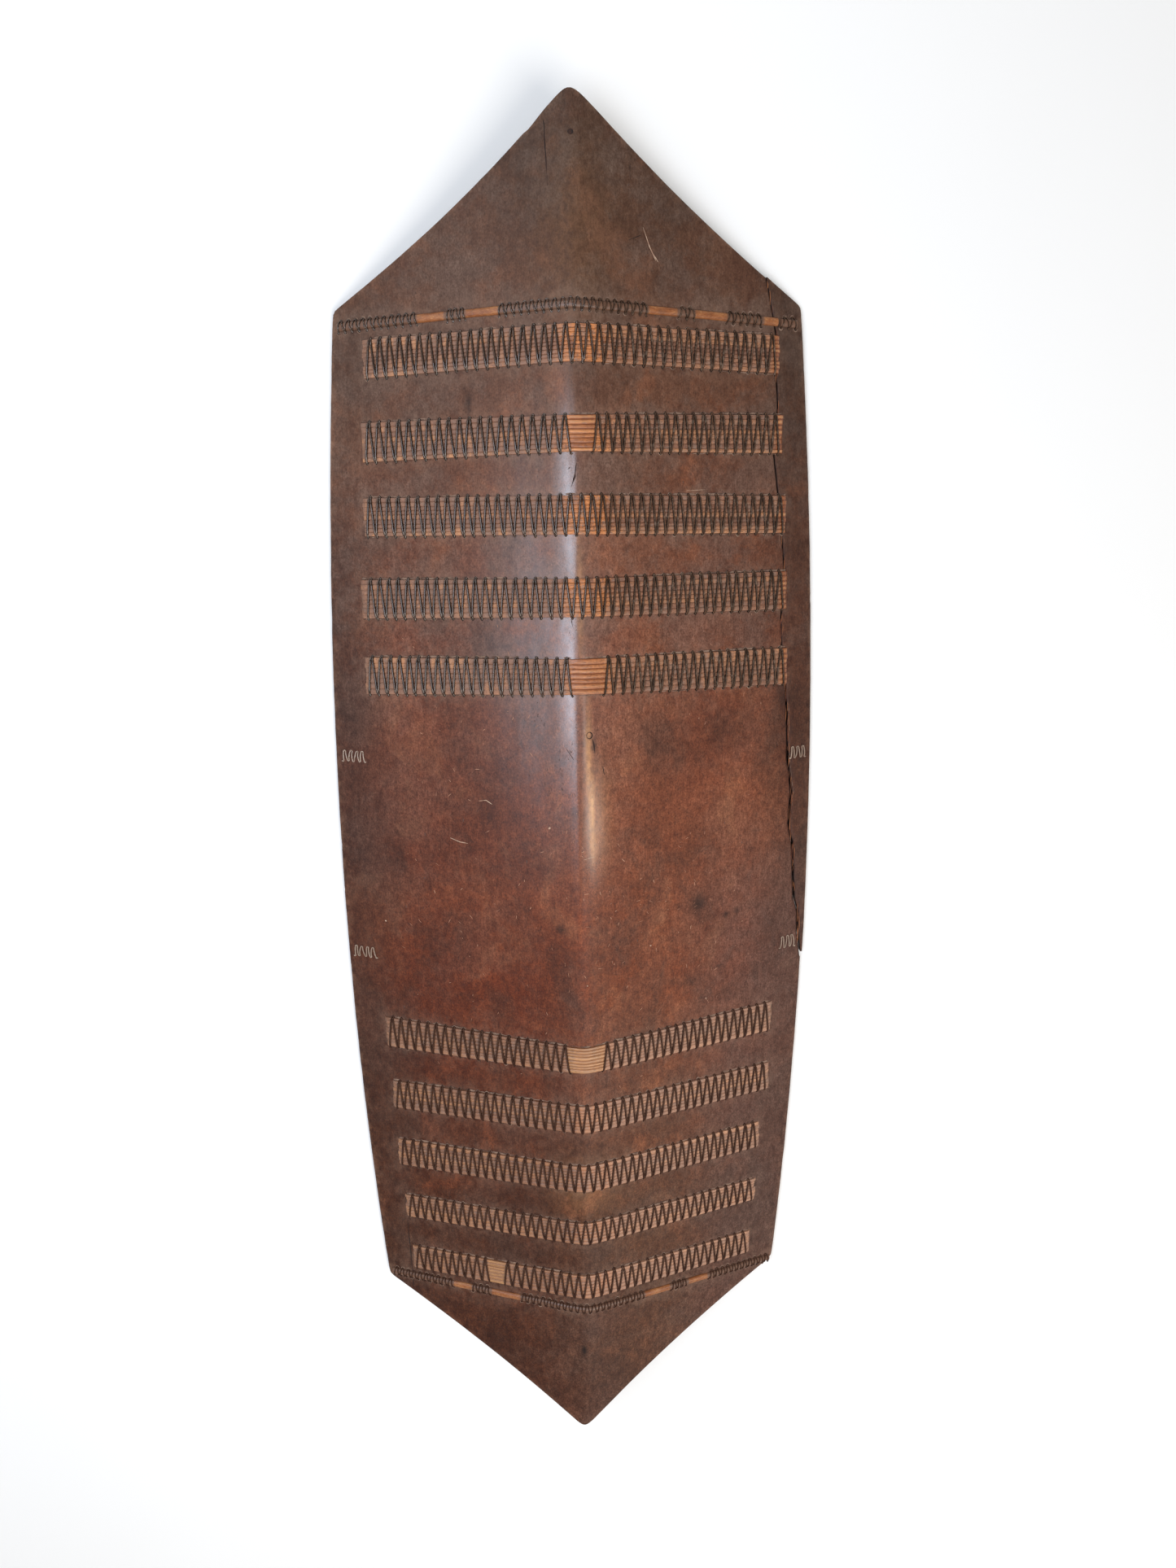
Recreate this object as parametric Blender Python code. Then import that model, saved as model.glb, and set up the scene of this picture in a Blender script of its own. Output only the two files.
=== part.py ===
"""A long plank shield of dark wood, with rattan bands sewn across its face.

The board is carved in one piece with its grip. It is hexagonal, its sides bulge a little, and
its face folds along the middle like a low roof. It lies on its back: X runs across it, Y along
it with the upper point at +Y, and Z up out of its face. The origin is under the middle of the
shield, on the surface that the two side rims rest on. All sizes are in metres.
"""

import collections
import math

import bmesh
import bpy

# Outline of the board
LENGTH = 1.216
POINT_LENGTH = 0.149
SHOULDER_WIDTH = 0.398
WAIST_WIDTH = 0.440
SHOULDER_ROUND = 0.0013
UPPER_TIP_RADIUS = 0.009
LOWER_TIP_RADIUS = 0.005
UPPER_TIP_SHIFT = -0.0010
LOWER_TIP_SHIFT = -0.0038
HALF_LENGTH = LENGTH / 2
SHOULDER = HALF_LENGTH - POINT_LENGTH

# Each slanting edge has its own shoulder, so far from SHOULDER, and its own hollow curve
Corner = collections.namedtuple("Corner", "skew hollow")
UPPER_LEFT = Corner(skew=-0.0014, hollow=0.30)
UPPER_RIGHT = Corner(skew=0.0032, hollow=0.24)
LOWER_LEFT = Corner(skew=0.0055, hollow=0.21)
LOWER_RIGHT = Corner(skew=0.0090, hollow=0.28)

# Section of the board
RIDGE_HEIGHT = 0.087
RIDGE_FALL = 0.0225
RIDGE_ROUND = 0.008
RIDGE_THICKNESS = 0.012
RIM_HEIGHT = 0.006
RIM_WIDTH = 0.009
EDGE_ROUND = 0.002
POINT_HOLLOW = 0.93

# The hole that the shield hangs by, near the upper point
HANG_HOLE_DIAMETER = 0.004
HANG_HOLE_BELOW_TIP = 0.0315

# The grip in the hollow of the back
GRIP_LENGTH = 0.150
GRIP_OPENING = 0.108
GRIP_WIDTH = 0.026
GRIP_DEPTH = 0.020
GRIP_CLEARANCE = 0.008
GRIP_FLARE = 0.014
GRIP_BEVEL = 0.005
GRIP_HEEL = 0.003

# The long split at the right edge: distance below the shoulder, and inwards from the side
SPLIT_GAP = 0.0003
SPLIT_SHIFT = 0.0014
SPLIT_END_WIDTH = 0.0015
SPLIT = (
    (-0.020, 0.0287), (0.025, 0.0240), (0.052, 0.0264), (0.080, 0.0264), (0.121, 0.0320),
    (0.154, 0.0294), (0.218, 0.0252), (0.262, 0.0292), (0.287, 0.0289), (0.317, 0.0250),
    (0.352, 0.0236), (0.397, 0.0217), (0.425, 0.0173), (0.458, 0.0202), (0.475, 0.0148),
    (0.528, 0.0113), (0.544, 0.0061), (0.566, 0.0048), (0.594, 0.0000),
)

# Broad bands. from_left, from_ridge and from_right are how far the middle of the band lies
# from the shoulder line at its left end, at the ridge and at its right end. bare is a stretch
# with no lashing. end_left and end_right are measured from the sides of the board.
Band = collections.namedtuple(
    "Band", "from_left from_ridge from_right end_width ridge_width end_left end_right bare"
)
UPPER_BANDS = (
    Band(0.0410, 0.0369, 0.0375, 0.0310, 0.0288, 0.0277, 0.0228, None),
    Band(0.1079, 0.1064, 0.1028, 0.0325, 0.0286, 0.0288, 0.0237, (-0.0038, 0.0130)),
    Band(0.1697, 0.1705, 0.1709, 0.0322, 0.0314, 0.0303, 0.0224, None),
    Band(0.2396, 0.2374, 0.2371, 0.0338, 0.0317, 0.0288, 0.0239, None),
    Band(0.3067, 0.3029, 0.3054, 0.0332, 0.0304, 0.0307, 0.0236, (-0.0058, 0.0204)),
)
LOWER_BANDS = (
    Band(0.2689, 0.2633, 0.2693, 0.0304, 0.0253, 0.0297, 0.0285, (-0.0127, 0.0166)),
    Band(0.2030, 0.2032, 0.2051, 0.0287, 0.0276, 0.0304, 0.0266, None),
    Band(0.1402, 0.1403, 0.1420, 0.0282, 0.0274, 0.0289, 0.0318, None),
    Band(0.0802, 0.0804, 0.0797, 0.0244, 0.0232, 0.0292, 0.0300, None),
    Band(0.0216, 0.0200, 0.0194, 0.0255, 0.0260, 0.0288, 0.0298, (-0.0938, -0.0800)),
)
BAND_THICKNESS = 0.0018
BAND_BEVEL = 0.0010

# Single canes along the two shoulder lines, and the groups of lashing that hold them. A group
# runs from one place across the shield to another, and None stands for the side of the board.
Cane = collections.namedtuple("Cane", "from_left from_ridge from_right groups")
UPPER_CANE = Cane(
    0.0142, 0.0078, 0.0115,
    ((None, -0.1265), (-0.1020, -0.0867), (-0.0594, 0.0600), (0.0873, 0.1016), (0.1300, 0.1622)),
)
LOWER_CANE = Cane(
    -0.0005, -0.0068, -0.0080,
    ((None, -0.1317), (-0.1127, -0.0946), (-0.0639, 0.0578), (0.0862, 0.1028), (0.1267, None)),
)
CANE_WIDTH = 0.0066
CANE_THICKNESS = 0.0020
CANE_BEVEL = 0.0013
CANE_END = 0.004
UPPER_CANE_OVER_SPLIT = 0.0030
CANE_LASHING_HEIGHT = 0.0105
CANE_CORD_WIDTH = 0.0014
CANE_PITCH = 0.0060

# Four short rows of stitches near the side edges: side, middle and height along the board,
# and the reach from the edge inwards
Stitch = collections.namedtuple("Stitch", "name side middle height inner outer")
EDGE_STITCHES = (
    Stitch("upper_left", -1, 0.0786, 0.0095, 0.0275, 0.0065),
    Stitch("upper_right", 1, 0.0719, 0.0105, 0.0196, 0.0040),
    Stitch("lower_left", -1, -0.1105, 0.0105, 0.0272, 0.0050),
    Stitch("lower_right", 1, -0.1152, 0.0115, 0.0239, 0.0080),
)
STITCH_PITCH = 0.0055

# Lashing cords
CORD_WIDTH = 0.0018
CORD_HEIGHT = 0.0015
LASHING_PITCH = 0.0084
LASHING_OVERHANG = 0.0010
GAP = 0.0003

# How finely the solids are divided: columns across the board from the ridge outwards, and rows
# along it, from the shoulders, as shares of a point's length, and back from a tip
RIDGE_COLUMNS = (0.0065, 0.0155)
FLANK_COLUMN = 0.35
SQUEEZE_WIDTH = 0.060
BODY_ROW_STEP = 0.070
SPLIT_ROW_STEP = 0.034
SHOULDER_ROWS = (-0.012, -0.005, 0.005, 0.012)
POINT_ROWS = (0.25, 0.45, 0.65, 0.82, 0.92)
TIP_ROWS = (0.0060, 0.0025, 0.0008, 0.0001)
HOLE_SIDES = 12
SHARP_ANGLE = math.radians(30)

WOOD = ("dark_wood", (0.085, 0.034, 0.020, 1.0), 0.38, 0.0)
RATTAN = ("rattan_splints", (0.250, 0.125, 0.065, 1.0), 0.60, 0.0)
CANE = ("split_cane", (0.420, 0.180, 0.070, 1.0), 0.45, 0.0)
CORD = ("dark_cord", (0.045, 0.027, 0.020, 1.0), 0.45, 0.0)
STITCH_CORD = ("dusty_cord", (0.160, 0.110, 0.085, 1.0), 0.70, 0.0)


def side_line(y):
    """Distance of the bulging side from the middle line, carried on past the shoulders."""
    bulge = (WAIST_WIDTH - SHOULDER_WIDTH) / 2
    return SHOULDER_WIDTH / 2 + bulge * (1 - (y / SHOULDER) ** 2)


def ridge_height(y):
    """Height of the face along the ridge, which falls in a slow curve towards both points."""
    return RIDGE_HEIGHT - RIDGE_FALL * (y / HALF_LENGTH) ** 2


def rounded(x):
    """Distance from the ridge, eased so that the fold is round."""
    return math.hypot(x, RIDGE_ROUND) - RIDGE_ROUND


def face_height(x, y):
    """Height of the face, from the ridge straight down to the rim."""
    share = rounded(x) / rounded(side_line(y))
    return RIM_HEIGHT + (ridge_height(y) - RIM_HEIGHT) * (1 - share)


def back_height(x, y):
    """Height of the hollow back, which meets the rest surface RIM_WIDTH inside the side."""
    share = rounded(x) / rounded(side_line(y) - RIM_WIDTH)
    return max(0.0, (ridge_height(y) - RIDGE_THICKNESS) * (1 - share))


def slanting_edge(y, side):
    """Distance of a point's slanting edge from the middle line, and how far along it y is."""
    if y > 0:
        corner = UPPER_LEFT if side < 0 else UPPER_RIGHT
        radius = UPPER_TIP_RADIUS
    else:
        corner = LOWER_LEFT if side < 0 else LOWER_RIGHT
        radius = LOWER_TIP_RADIUS
    shoulder = SHOULDER + corner.skew
    full = side_line(shoulder)
    sharp_tip = HALF_LENGTH + radius

    def straight(at):
        along = (at - shoulder) / (sharp_tip - shoulder)
        return full * (1 - along) * (1 - corner.hollow * along)

    cut = straight(HALF_LENGTH)
    along = (abs(y) - shoulder) / (HALF_LENGTH - shoulder)
    return math.sqrt(max(0.0, straight(abs(y)) ** 2 - cut**2)), max(0.0, along)


def outline(y, side):
    """The x of the board's outline: the side, then round the shoulder to the slanting edge."""
    slanting, along = slanting_edge(y, side)
    straight = side_line(y)
    apart = math.hypot(slanting - straight, 2 * SHOULDER_ROUND)
    width = (slanting + straight - apart) / 2
    shift = UPPER_TIP_SHIFT if y > 0 else LOWER_TIP_SHIFT
    return side * max(width, 0.0) + shift * min(along, 1.0)


def split_inset(y):
    """How far inside the right side the split runs, or None beyond its ends."""
    below = SHOULDER - y
    for (start, inset), (end, next_inset) in zip(SPLIT, SPLIT[1:]):
        if start <= below <= end:
            return inset + (next_inset - inset) * (below - start) / (end - start)
    return None


def split_x(y):
    inset = split_inset(y)
    return None if inset is None else side_line(y) - inset


def material(look):
    name, colour, roughness, metallic = look
    made = bpy.data.materials.get(name)
    if made is None:
        made = bpy.data.materials.new(name)
        made.use_nodes = True
        shader = made.node_tree.nodes["Principled BSDF"]
        shader.inputs["Base Color"].default_value = colour
        shader.inputs["Roughness"].default_value = roughness
        shader.inputs["Metallic"].default_value = metallic
        made.diffuse_color = colour
    return made


def mesh_object(name, build, look):
    """A new object whose mesh is filled by build, a function of a bmesh."""
    mesh = bpy.data.meshes.new(name)
    work = bmesh.new()
    build(work)
    bmesh.ops.recalc_face_normals(work, faces=work.faces)
    work.to_mesh(mesh)
    work.free()
    mesh.shade_smooth()
    mesh.set_sharp_from_angle(angle=SHARP_ANGLE)
    mesh.materials.append(material(look))
    made = bpy.data.objects.new(name, mesh)
    bpy.context.scene.collection.objects.link(made)
    return made


def loft(name, rings, look):
    """A closed solid through rings of points that all have the same count."""

    def build(work):
        rows = [[work.verts.new(point) for point in ring] for ring in rings]
        for row, following in zip(rows, rows[1:]):
            for index in range(len(row)):
                after = (index + 1) % len(row)
                work.faces.new((row[index], row[after], following[after], following[index]))
        work.faces.new(rows[0])
        work.faces.new(rows[-1])

    return mesh_object(name, build, look)


def spread(start, end, longest):
    """Evenly spaced values from start to end, no further apart than longest."""
    steps = max(1, math.ceil(abs(end - start) / longest))
    return [start + (end - start) * index / steps for index in range(steps + 1)]


def board_rows():
    """Places along Y of the board's sections: closer in the curves and along the split."""
    split_end = SHOULDER - SPLIT[-1][0]
    rows = spread(-SHOULDER, split_end, BODY_ROW_STEP)
    rows += spread(split_end, SHOULDER, SPLIT_ROW_STEP)
    rows.append(split_end + SPLIT_ROW_STEP / 2)
    for end in (-1, 1):
        rows += [end * (SHOULDER + past) for past in SHOULDER_ROWS]
        rows += [end * (SHOULDER + share * (HALF_LENGTH - SHOULDER)) for share in POINT_ROWS]
        rows += [end * (HALF_LENGTH - back) for back in TIP_ROWS]
    rows.append(SHOULDER - SPLIT[0][0])
    return sorted(set(round(row, 6) for row in rows))


def rim_line(edge, middle, rim):
    """Where the flat rim ends inwards. A split or slanting edge keeps a share of its width."""
    if rim < abs(edge) - EDGE_ROUND:
        return math.copysign(rim, edge)
    return middle + (edge - middle) * POINT_HOLLOW


def board_section(y):
    """Ring of points across the board at y: over the face, then back along the hollow."""
    left = outline(y, -1)
    right = outline(y, 1)
    crack = split_x(y)
    split = crack is not None and crack - SPLIT_GAP < right
    if split:
        right = crack - SPLIT_GAP
    squeeze = min(1.0, (right - left) / 2 / SQUEEZE_WIDTH)
    middle = (left + right) / 2 * (1 - squeeze)
    near, far = (column * squeeze for column in RIDGE_COLUMNS)
    flank_left = middle + (left - middle) * FLANK_COLUMN
    flank_right = middle + (right - middle) * FLANK_COLUMN
    worn = min(EDGE_ROUND, (right - left) / 4)
    over = [left + worn, flank_left, middle - far, middle - near, middle]
    over += [middle + near, middle + far, flank_right, right if split else right - worn]
    rim = side_line(y) - RIM_WIDTH
    under = [right, rim_line(right, middle, rim), middle + far, middle, middle - far]
    under += [rim_line(left, middle, rim), left]
    ring = [(left, y, face_height(left, y) - worn)]
    ring += [(x, y, face_height(x, y)) for x in over]
    ring.append((right, y, face_height(right, y) - worn))
    return ring + [(x, y, back_height(x, y)) for x in under]


def split_section(y):
    """Ring of points across the split-off strip at y, or None where it has no width."""
    crack = split_x(y)
    if crack is None:
        return None
    inner = crack + SPLIT_SHIFT
    outer = outline(y, 1) + SPLIT_SHIFT
    if outer - inner < SPLIT_END_WIDTH:
        return None
    rim = side_line(y) - RIM_WIDTH + SPLIT_SHIFT
    if not inner + SPLIT_SHIFT < rim < outer - SPLIT_SHIFT:
        rim = (inner + outer) / 2
    worn = min(EDGE_ROUND, (outer - inner) / 2)
    return [
        (inner, y, face_height(inner, y)),
        (outer - worn, y, face_height(outer - worn, y)),
        (outer, y, face_height(outer, y) - worn),
        (outer, y, back_height(outer, y)),
        (rim, y, back_height(rim, y)),
        (inner, y, back_height(inner, y)),
    ]


def make_cutter(name, build):
    cutter = mesh_object(name, build, WOOD)
    cutter.hide_render = True
    cutter.display_type = "WIRE"
    return cutter


def make_grip():
    """Bar and two posts in the hollow, as one bridge that ends inside the board."""
    top = (back_height(0, 0) + face_height(GRIP_WIDTH / 2, 0)) / 2
    low = GRIP_CLEARANCE
    high = GRIP_CLEARANCE + GRIP_DEPTH
    outer = GRIP_LENGTH / 2
    inner = GRIP_OPENING / 2
    bend = (outer - inner) / 2
    half_profile = [
        (outer + GRIP_FLARE, top),
        (outer, (top + high) / 2),
        (outer - GRIP_HEEL, low + bend),
        (outer - bend, low),
        (inner - GRIP_FLARE, high),
        (inner, high + GRIP_FLARE),
        (inner, top),
    ]
    bottom = half_profile[:4]
    window = half_profile[4:]
    profile = bottom + [(-y, z) for y, z in reversed(bottom)]
    profile += [(-y, z) for y, z in reversed(window)] + window

    def build(work):
        verts = [work.verts.new((-GRIP_WIDTH / 2, y, z)) for y, z in profile]
        face = work.faces.new(verts)
        grown = bmesh.ops.extrude_face_region(work, geom=[face])["geom"]
        moved = [item for item in grown if isinstance(item, bmesh.types.BMVert)]
        bmesh.ops.translate(work, vec=(GRIP_WIDTH, 0, 0), verts=moved)
        bmesh.ops.recalc_face_normals(work, faces=work.faces)
        rims = [edge for edge in work.edges if abs(edge.verts[0].co.x - edge.verts[1].co.x) < 1e-6]
        rims = [edge for edge in rims if max(vert.co.z for vert in edge.verts) < top]
        bmesh.ops.bevel(work, geom=rims, offset=GRIP_BEVEL, segments=1, affect="EDGES")

    return make_cutter("grip_solid", build)


def make_hang_hole():
    def build(work):
        bmesh.ops.create_cone(
            work,
            cap_ends=True,
            segments=HOLE_SIDES,
            radius1=HANG_HOLE_DIAMETER / 2,
            radius2=HANG_HOLE_DIAMETER / 2,
            depth=RIDGE_HEIGHT * 2,
        )

    cutter = make_cutter("hang_hole", build)
    cutter.location = (UPPER_TIP_SHIFT / 2, HALF_LENGTH - HANG_HOLE_BELOW_TIP, RIDGE_HEIGHT / 2)
    return cutter


def add_boolean(target, tool, operation):
    modifier = target.modifiers.new(operation.lower(), "BOOLEAN")
    modifier.operation = operation
    modifier.solver = "EXACT"
    modifier.object = tool


def make_board():
    board = loft("board", [board_section(y) for y in board_rows()], WOOD)
    add_boolean(board, make_grip(), "UNION")
    add_boolean(board, make_hang_hole(), "DIFFERENCE")


def make_split_off_edge():
    sections = [split_section(y) for y in board_rows()]
    loft("split_off_edge", [ring for ring in sections if ring], WOOD)


def bowed(x, reach_left, reach_right, at_left, at_ridge, at_right):
    """A value that runs straight from its left end to the ridge, and on to its right end."""
    if x < 0:
        return at_ridge + (at_left - at_ridge) * x / reach_left
    return at_ridge + (at_right - at_ridge) * x / reach_right


class Strip:
    """Where a band or cane lies: its ends across the shield, middle line and width."""

    def __init__(self, end, row, end_width, ridge_width, inset_left, inset_right):
        self.end = end
        self.row = row
        self.widths = (end_width, ridge_width, end_width)
        near = end * (SHOULDER - row.from_ridge)
        self.left = -side_line(near) + inset_left
        self.right = side_line(near) - inset_right

    def middle(self, x):
        row = self.row
        away = bowed(x, self.left, self.right, row.from_left, row.from_ridge, row.from_right)
        return self.end * (SHOULDER - away)

    def width(self, x):
        return bowed(x, self.left, self.right, *self.widths)

    def stations(self):
        """Places across the shield that follow the folds of the board's own sections."""
        flank = side_line(self.middle(0)) * FLANK_COLUMN
        near, far = RIDGE_COLUMNS
        inner = (-flank, -far, -near, 0.0, near, far, flank)
        kept = [x for x in inner if self.left + GAP < x < self.right - GAP]
        return [self.left] + kept + [self.right]


def strip_solid(name, strip, thickness, bevel, look):
    rings = []
    for x in strip.stations():
        middle = strip.middle(x)
        half = strip.width(x) / 2
        profile = ((-half, GAP), (half, GAP), (half - bevel, GAP + thickness))
        profile += ((bevel - half, GAP + thickness),)
        ring = [(x, middle + y, face_height(x, middle + y) + lift) for y, lift in profile]
        rings.append(ring)
    loft(name, rings, look)


def mitre(pitch, height, width):
    """Length along Y of the joint between two strokes of a zigzag, so that each has its width."""
    step = pitch / 2
    spare = step**2 - width**2
    root = math.sqrt((width**2 * height) ** 2 + spare * width**2 * (height**2 + step**2))
    return (root - width**2 * height) / spare


def zigzag(name, start, end, pitch, lower, upper, lift, width, look):
    """A cord that goes up and down between the curves lower(x) and upper(x)."""
    strokes = 2 * max(1, round(abs(end - start) / pitch))
    rings = []
    for index in range(strokes + 1):
        x = start + (end - start) * index / strokes
        joint = mitre(abs(end - start) / strokes * 2, upper(x) - lower(x), width)
        if index % 2:
            high = upper(x)
            low = high - joint
        else:
            low = lower(x)
            high = low + joint
        crest = (low + high) / 2
        profile = ((high, lift), (low, lift), (crest, lift + CORD_HEIGHT))
        rings.append([(x, y, face_height(x, y) + rise) for y, rise in profile])
    loft(name, rings, look)


def make_band(number, end, row):
    """A broad band of splints and the lashing over it."""
    strip = Strip(end, row, row.end_width, row.ridge_width, row.end_left, row.end_right)
    strip_solid(f"rattan_band_{number}", strip, BAND_THICKNESS, BAND_BEVEL, RATTAN)
    runs = {f"lashing_{number}": (strip.left, strip.right)}
    if row.bare:
        runs = {
            f"lashing_{number}_left": (strip.left, row.bare[0]),
            f"lashing_{number}_right": (row.bare[1], strip.right),
        }

    def lower(x):
        return strip.middle(x) - strip.width(x) / 2 - LASHING_OVERHANG

    def upper(x):
        return strip.middle(x) + strip.width(x) / 2 + LASHING_OVERHANG

    lift = GAP + BAND_THICKNESS + GAP
    for name, (start, stop) in runs.items():
        start += CORD_WIDTH if start == strip.left else 0.0
        stop -= 2 * CORD_WIDTH if stop == strip.right else 0.0
        zigzag(name, start, stop, LASHING_PITCH, lower, upper, lift, CORD_WIDTH, CORD)


def cane_lashing(name, strip, start, stop):
    reach = CANE_LASHING_HEIGHT / 2
    zigzag(
        name,
        start,
        stop,
        CANE_PITCH,
        lambda x: strip.middle(x) - reach,
        lambda x: strip.middle(x) + reach,
        GAP + CANE_THICKNESS + GAP,
        CANE_CORD_WIDTH,
        CORD,
    )


def make_cane(name, end, row, over_split):
    """A single cane along a shoulder line and its groups of lashing. With a split in its way
    it ends just past the split, and a short piece of it stays on the split-off strip."""
    cane = Strip(end, row, CANE_WIDTH, CANE_WIDTH, CANE_END, CANE_END)
    groups = [
        (cane.left if start is None else start, cane.right if stop is None else stop)
        for start, stop in row.groups
    ]
    if over_split:
        piece = Strip(end, row, CANE_WIDTH, CANE_WIDTH, CANE_END, CANE_END)
        crack = split_x(cane.middle(cane.right))
        cane.right = crack + over_split
        piece.left = crack + 2 * over_split
        strip_solid(f"{name}_end", piece, CANE_THICKNESS, CANE_BEVEL, CANE)
        cane_lashing(f"{name}_end_lashing", piece, piece.left + GAP, piece.right)
    strip_solid(name, cane, CANE_THICKNESS, CANE_BEVEL, CANE)
    for number, (start, stop) in enumerate(groups, 1):
        cane_lashing(f"{name}_lashing_{number}", cane, start, stop)


def make_edge_stitches():
    for row in EDGE_STITCHES:
        edge = side_line(row.middle)
        start = row.side * (edge - row.inner)
        stop = row.side * (edge - row.outer)
        zigzag(
            f"edge_stitches_{row.name}",
            start,
            stop,
            STITCH_PITCH,
            lambda x, row=row: row.middle - row.height / 2,
            lambda x, row=row: row.middle + row.height / 2,
            GAP,
            CANE_CORD_WIDTH,
            STITCH_CORD,
        )


def main():
    for old in list(bpy.data.objects):
        bpy.data.objects.remove(old, do_unlink=True)
    make_board()
    make_split_off_edge()
    for number, row in enumerate(UPPER_BANDS, 1):
        make_band(number, 1, row)
    for number, row in enumerate(LOWER_BANDS, len(UPPER_BANDS) + 1):
        make_band(number, -1, row)
    make_cane("upper_cane", 1, UPPER_CANE, UPPER_CANE_OVER_SPLIT)
    make_cane("lower_cane", -1, LOWER_CANE, None)
    make_edge_stitches()


main()
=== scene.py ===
import collections
import functools
import math

import bpy
import numpy as np
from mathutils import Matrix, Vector


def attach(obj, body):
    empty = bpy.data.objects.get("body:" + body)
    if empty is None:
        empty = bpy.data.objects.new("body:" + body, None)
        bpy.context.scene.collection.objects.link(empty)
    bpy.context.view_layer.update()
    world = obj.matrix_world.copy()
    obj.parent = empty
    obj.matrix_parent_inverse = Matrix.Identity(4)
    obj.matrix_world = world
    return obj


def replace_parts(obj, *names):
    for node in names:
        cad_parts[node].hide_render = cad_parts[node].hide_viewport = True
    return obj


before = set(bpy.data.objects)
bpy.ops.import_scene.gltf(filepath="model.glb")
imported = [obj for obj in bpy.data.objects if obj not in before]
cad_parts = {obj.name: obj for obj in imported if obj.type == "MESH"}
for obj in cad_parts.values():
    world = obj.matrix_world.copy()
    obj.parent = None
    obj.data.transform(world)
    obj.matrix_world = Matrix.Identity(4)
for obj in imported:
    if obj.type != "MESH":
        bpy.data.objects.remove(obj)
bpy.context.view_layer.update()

# The shield's sizes in metres, the same as those of the solids. It lies on its back: +X is the
# side of the split-off strip, +Y the point with the nail hole, and +Z comes out of the face.
HALF_LENGTH = 0.608
SHOULDER = 0.459
SHOULDER_HALF = 0.199
BULGE = 0.021
SHOULDER_ROUND = 0.0013
# The two points: how far beyond the tip their edges would meet, the tip's place across, and on
# each side how far the shoulder is from the shoulder line and how hollow the edge is
Point = collections.namedtuple("Point", "radius shift left_skew left_hollow right_skew right_hollow")
UPPER_POINT = Point(0.009, -0.0010, -0.0014, 0.30, 0.0032, 0.24)
LOWER_POINT = Point(0.005, -0.0038, 0.0055, 0.21, 0.0090, 0.28)
RIDGE_HEIGHT = 0.087
RIDGE_FALL = 0.0225
RIDGE_ROUND = 0.008
RIDGE_THICKNESS = 0.012
RIM_HEIGHT = 0.006
RIM_WIDTH = 0.009
NAIL_HOLE = (-0.0005, 0.5765)
NAIL_HOLE_HALF = (0.0023, 0.0021)
KNOT = (0.0077, 0.1058)
KNOT_HALF = (0.0024, 0.0028)
# The long split: distance below the upper shoulder line, and distance in from the side line
SPLIT = (
    (-0.026, 0.0306), (0.025, 0.0240), (0.052, 0.0264), (0.080, 0.0264), (0.121, 0.0320),
    (0.154, 0.0294), (0.218, 0.0252), (0.262, 0.0292), (0.287, 0.0289), (0.317, 0.0250),
    (0.352, 0.0236), (0.397, 0.0217), (0.425, 0.0173), (0.458, 0.0202), (0.475, 0.0148),
    (0.528, 0.0113), (0.544, 0.0061), (0.566, 0.0048), (0.594, 0.0000),
)
# How far out the strip stands, the gap on both sides of the split's line, and its bare wood
STRIP_SHIFT = 0.0014
BOARD_GAP = 0.0008
STRIP_GAP = 0.0009
BOARD_BARE = 0.0009
STRIP_BARE = 0.0022
SPLINTER = 0.0005
SPLIT_TOP = SHOULDER - SPLIT[0][0]
SPLIT_END = SHOULDER - SPLIT[-1][0]

# Bands: distance of their middle from the shoulder line at the left end, ridge and right end,
# widths, ends, the bare stretches, and how many strands of rattan lie side by side
Band = collections.namedtuple(
    "Band", "from_left from_ridge from_right end_width ridge_width end_left end_right bare strands"
)
UPPER_BANDS = (
    Band(0.0410, 0.0369, 0.0375, 0.0310, 0.0288, 0.0277, 0.0228, None, 9),
    Band(0.1079, 0.1064, 0.1028, 0.0325, 0.0286, 0.0288, 0.0237, (-0.0038, 0.0130), 8),
    Band(0.1697, 0.1705, 0.1709, 0.0322, 0.0314, 0.0303, 0.0224, None, 9),
    Band(0.2396, 0.2374, 0.2371, 0.0338, 0.0317, 0.0288, 0.0239, None, 8),
    Band(0.3067, 0.3029, 0.3054, 0.0332, 0.0304, 0.0307, 0.0236, (-0.0058, 0.0204), 7),
)
LOWER_BANDS = (
    Band(0.2689, 0.2633, 0.2693, 0.0304, 0.0253, 0.0297, 0.0285, (-0.0127, 0.0166), 8),
    Band(0.2030, 0.2032, 0.2051, 0.0287, 0.0276, 0.0304, 0.0266, None, 8),
    Band(0.1402, 0.1403, 0.1420, 0.0282, 0.0274, 0.0289, 0.0318, None, 8),
    Band(0.0802, 0.0804, 0.0797, 0.0244, 0.0232, 0.0292, 0.0300, None, 7),
    Band(0.0216, 0.0200, 0.0194, 0.0255, 0.0260, 0.0288, 0.0298, (-0.0938, -0.0800), 7),
)
BAND_TOP = 0.0021
# Canes: their middle as for the bands, and the stretches that cord covers
Cane = collections.namedtuple("Cane", "from_left from_ridge from_right groups")
UPPER_CANE = Cane(
    0.0142, 0.0078, 0.0115,
    ((None, -0.1265), (-0.1020, -0.0867), (-0.0594, 0.0600), (0.0873, 0.1016), (0.1300, 0.1622)),
)
LOWER_CANE = Cane(
    -0.0005, -0.0068, -0.0080,
    ((None, -0.1317), (-0.1127, -0.0946), (-0.0639, 0.0578), (0.0862, 0.1028), (0.1267, None)),
)
CANE_WIDTH = 0.0066
CANE_TOP = 0.0023
CANE_INSET = 0.004
CANE_OVER_SPLIT = 0.0030
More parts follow.
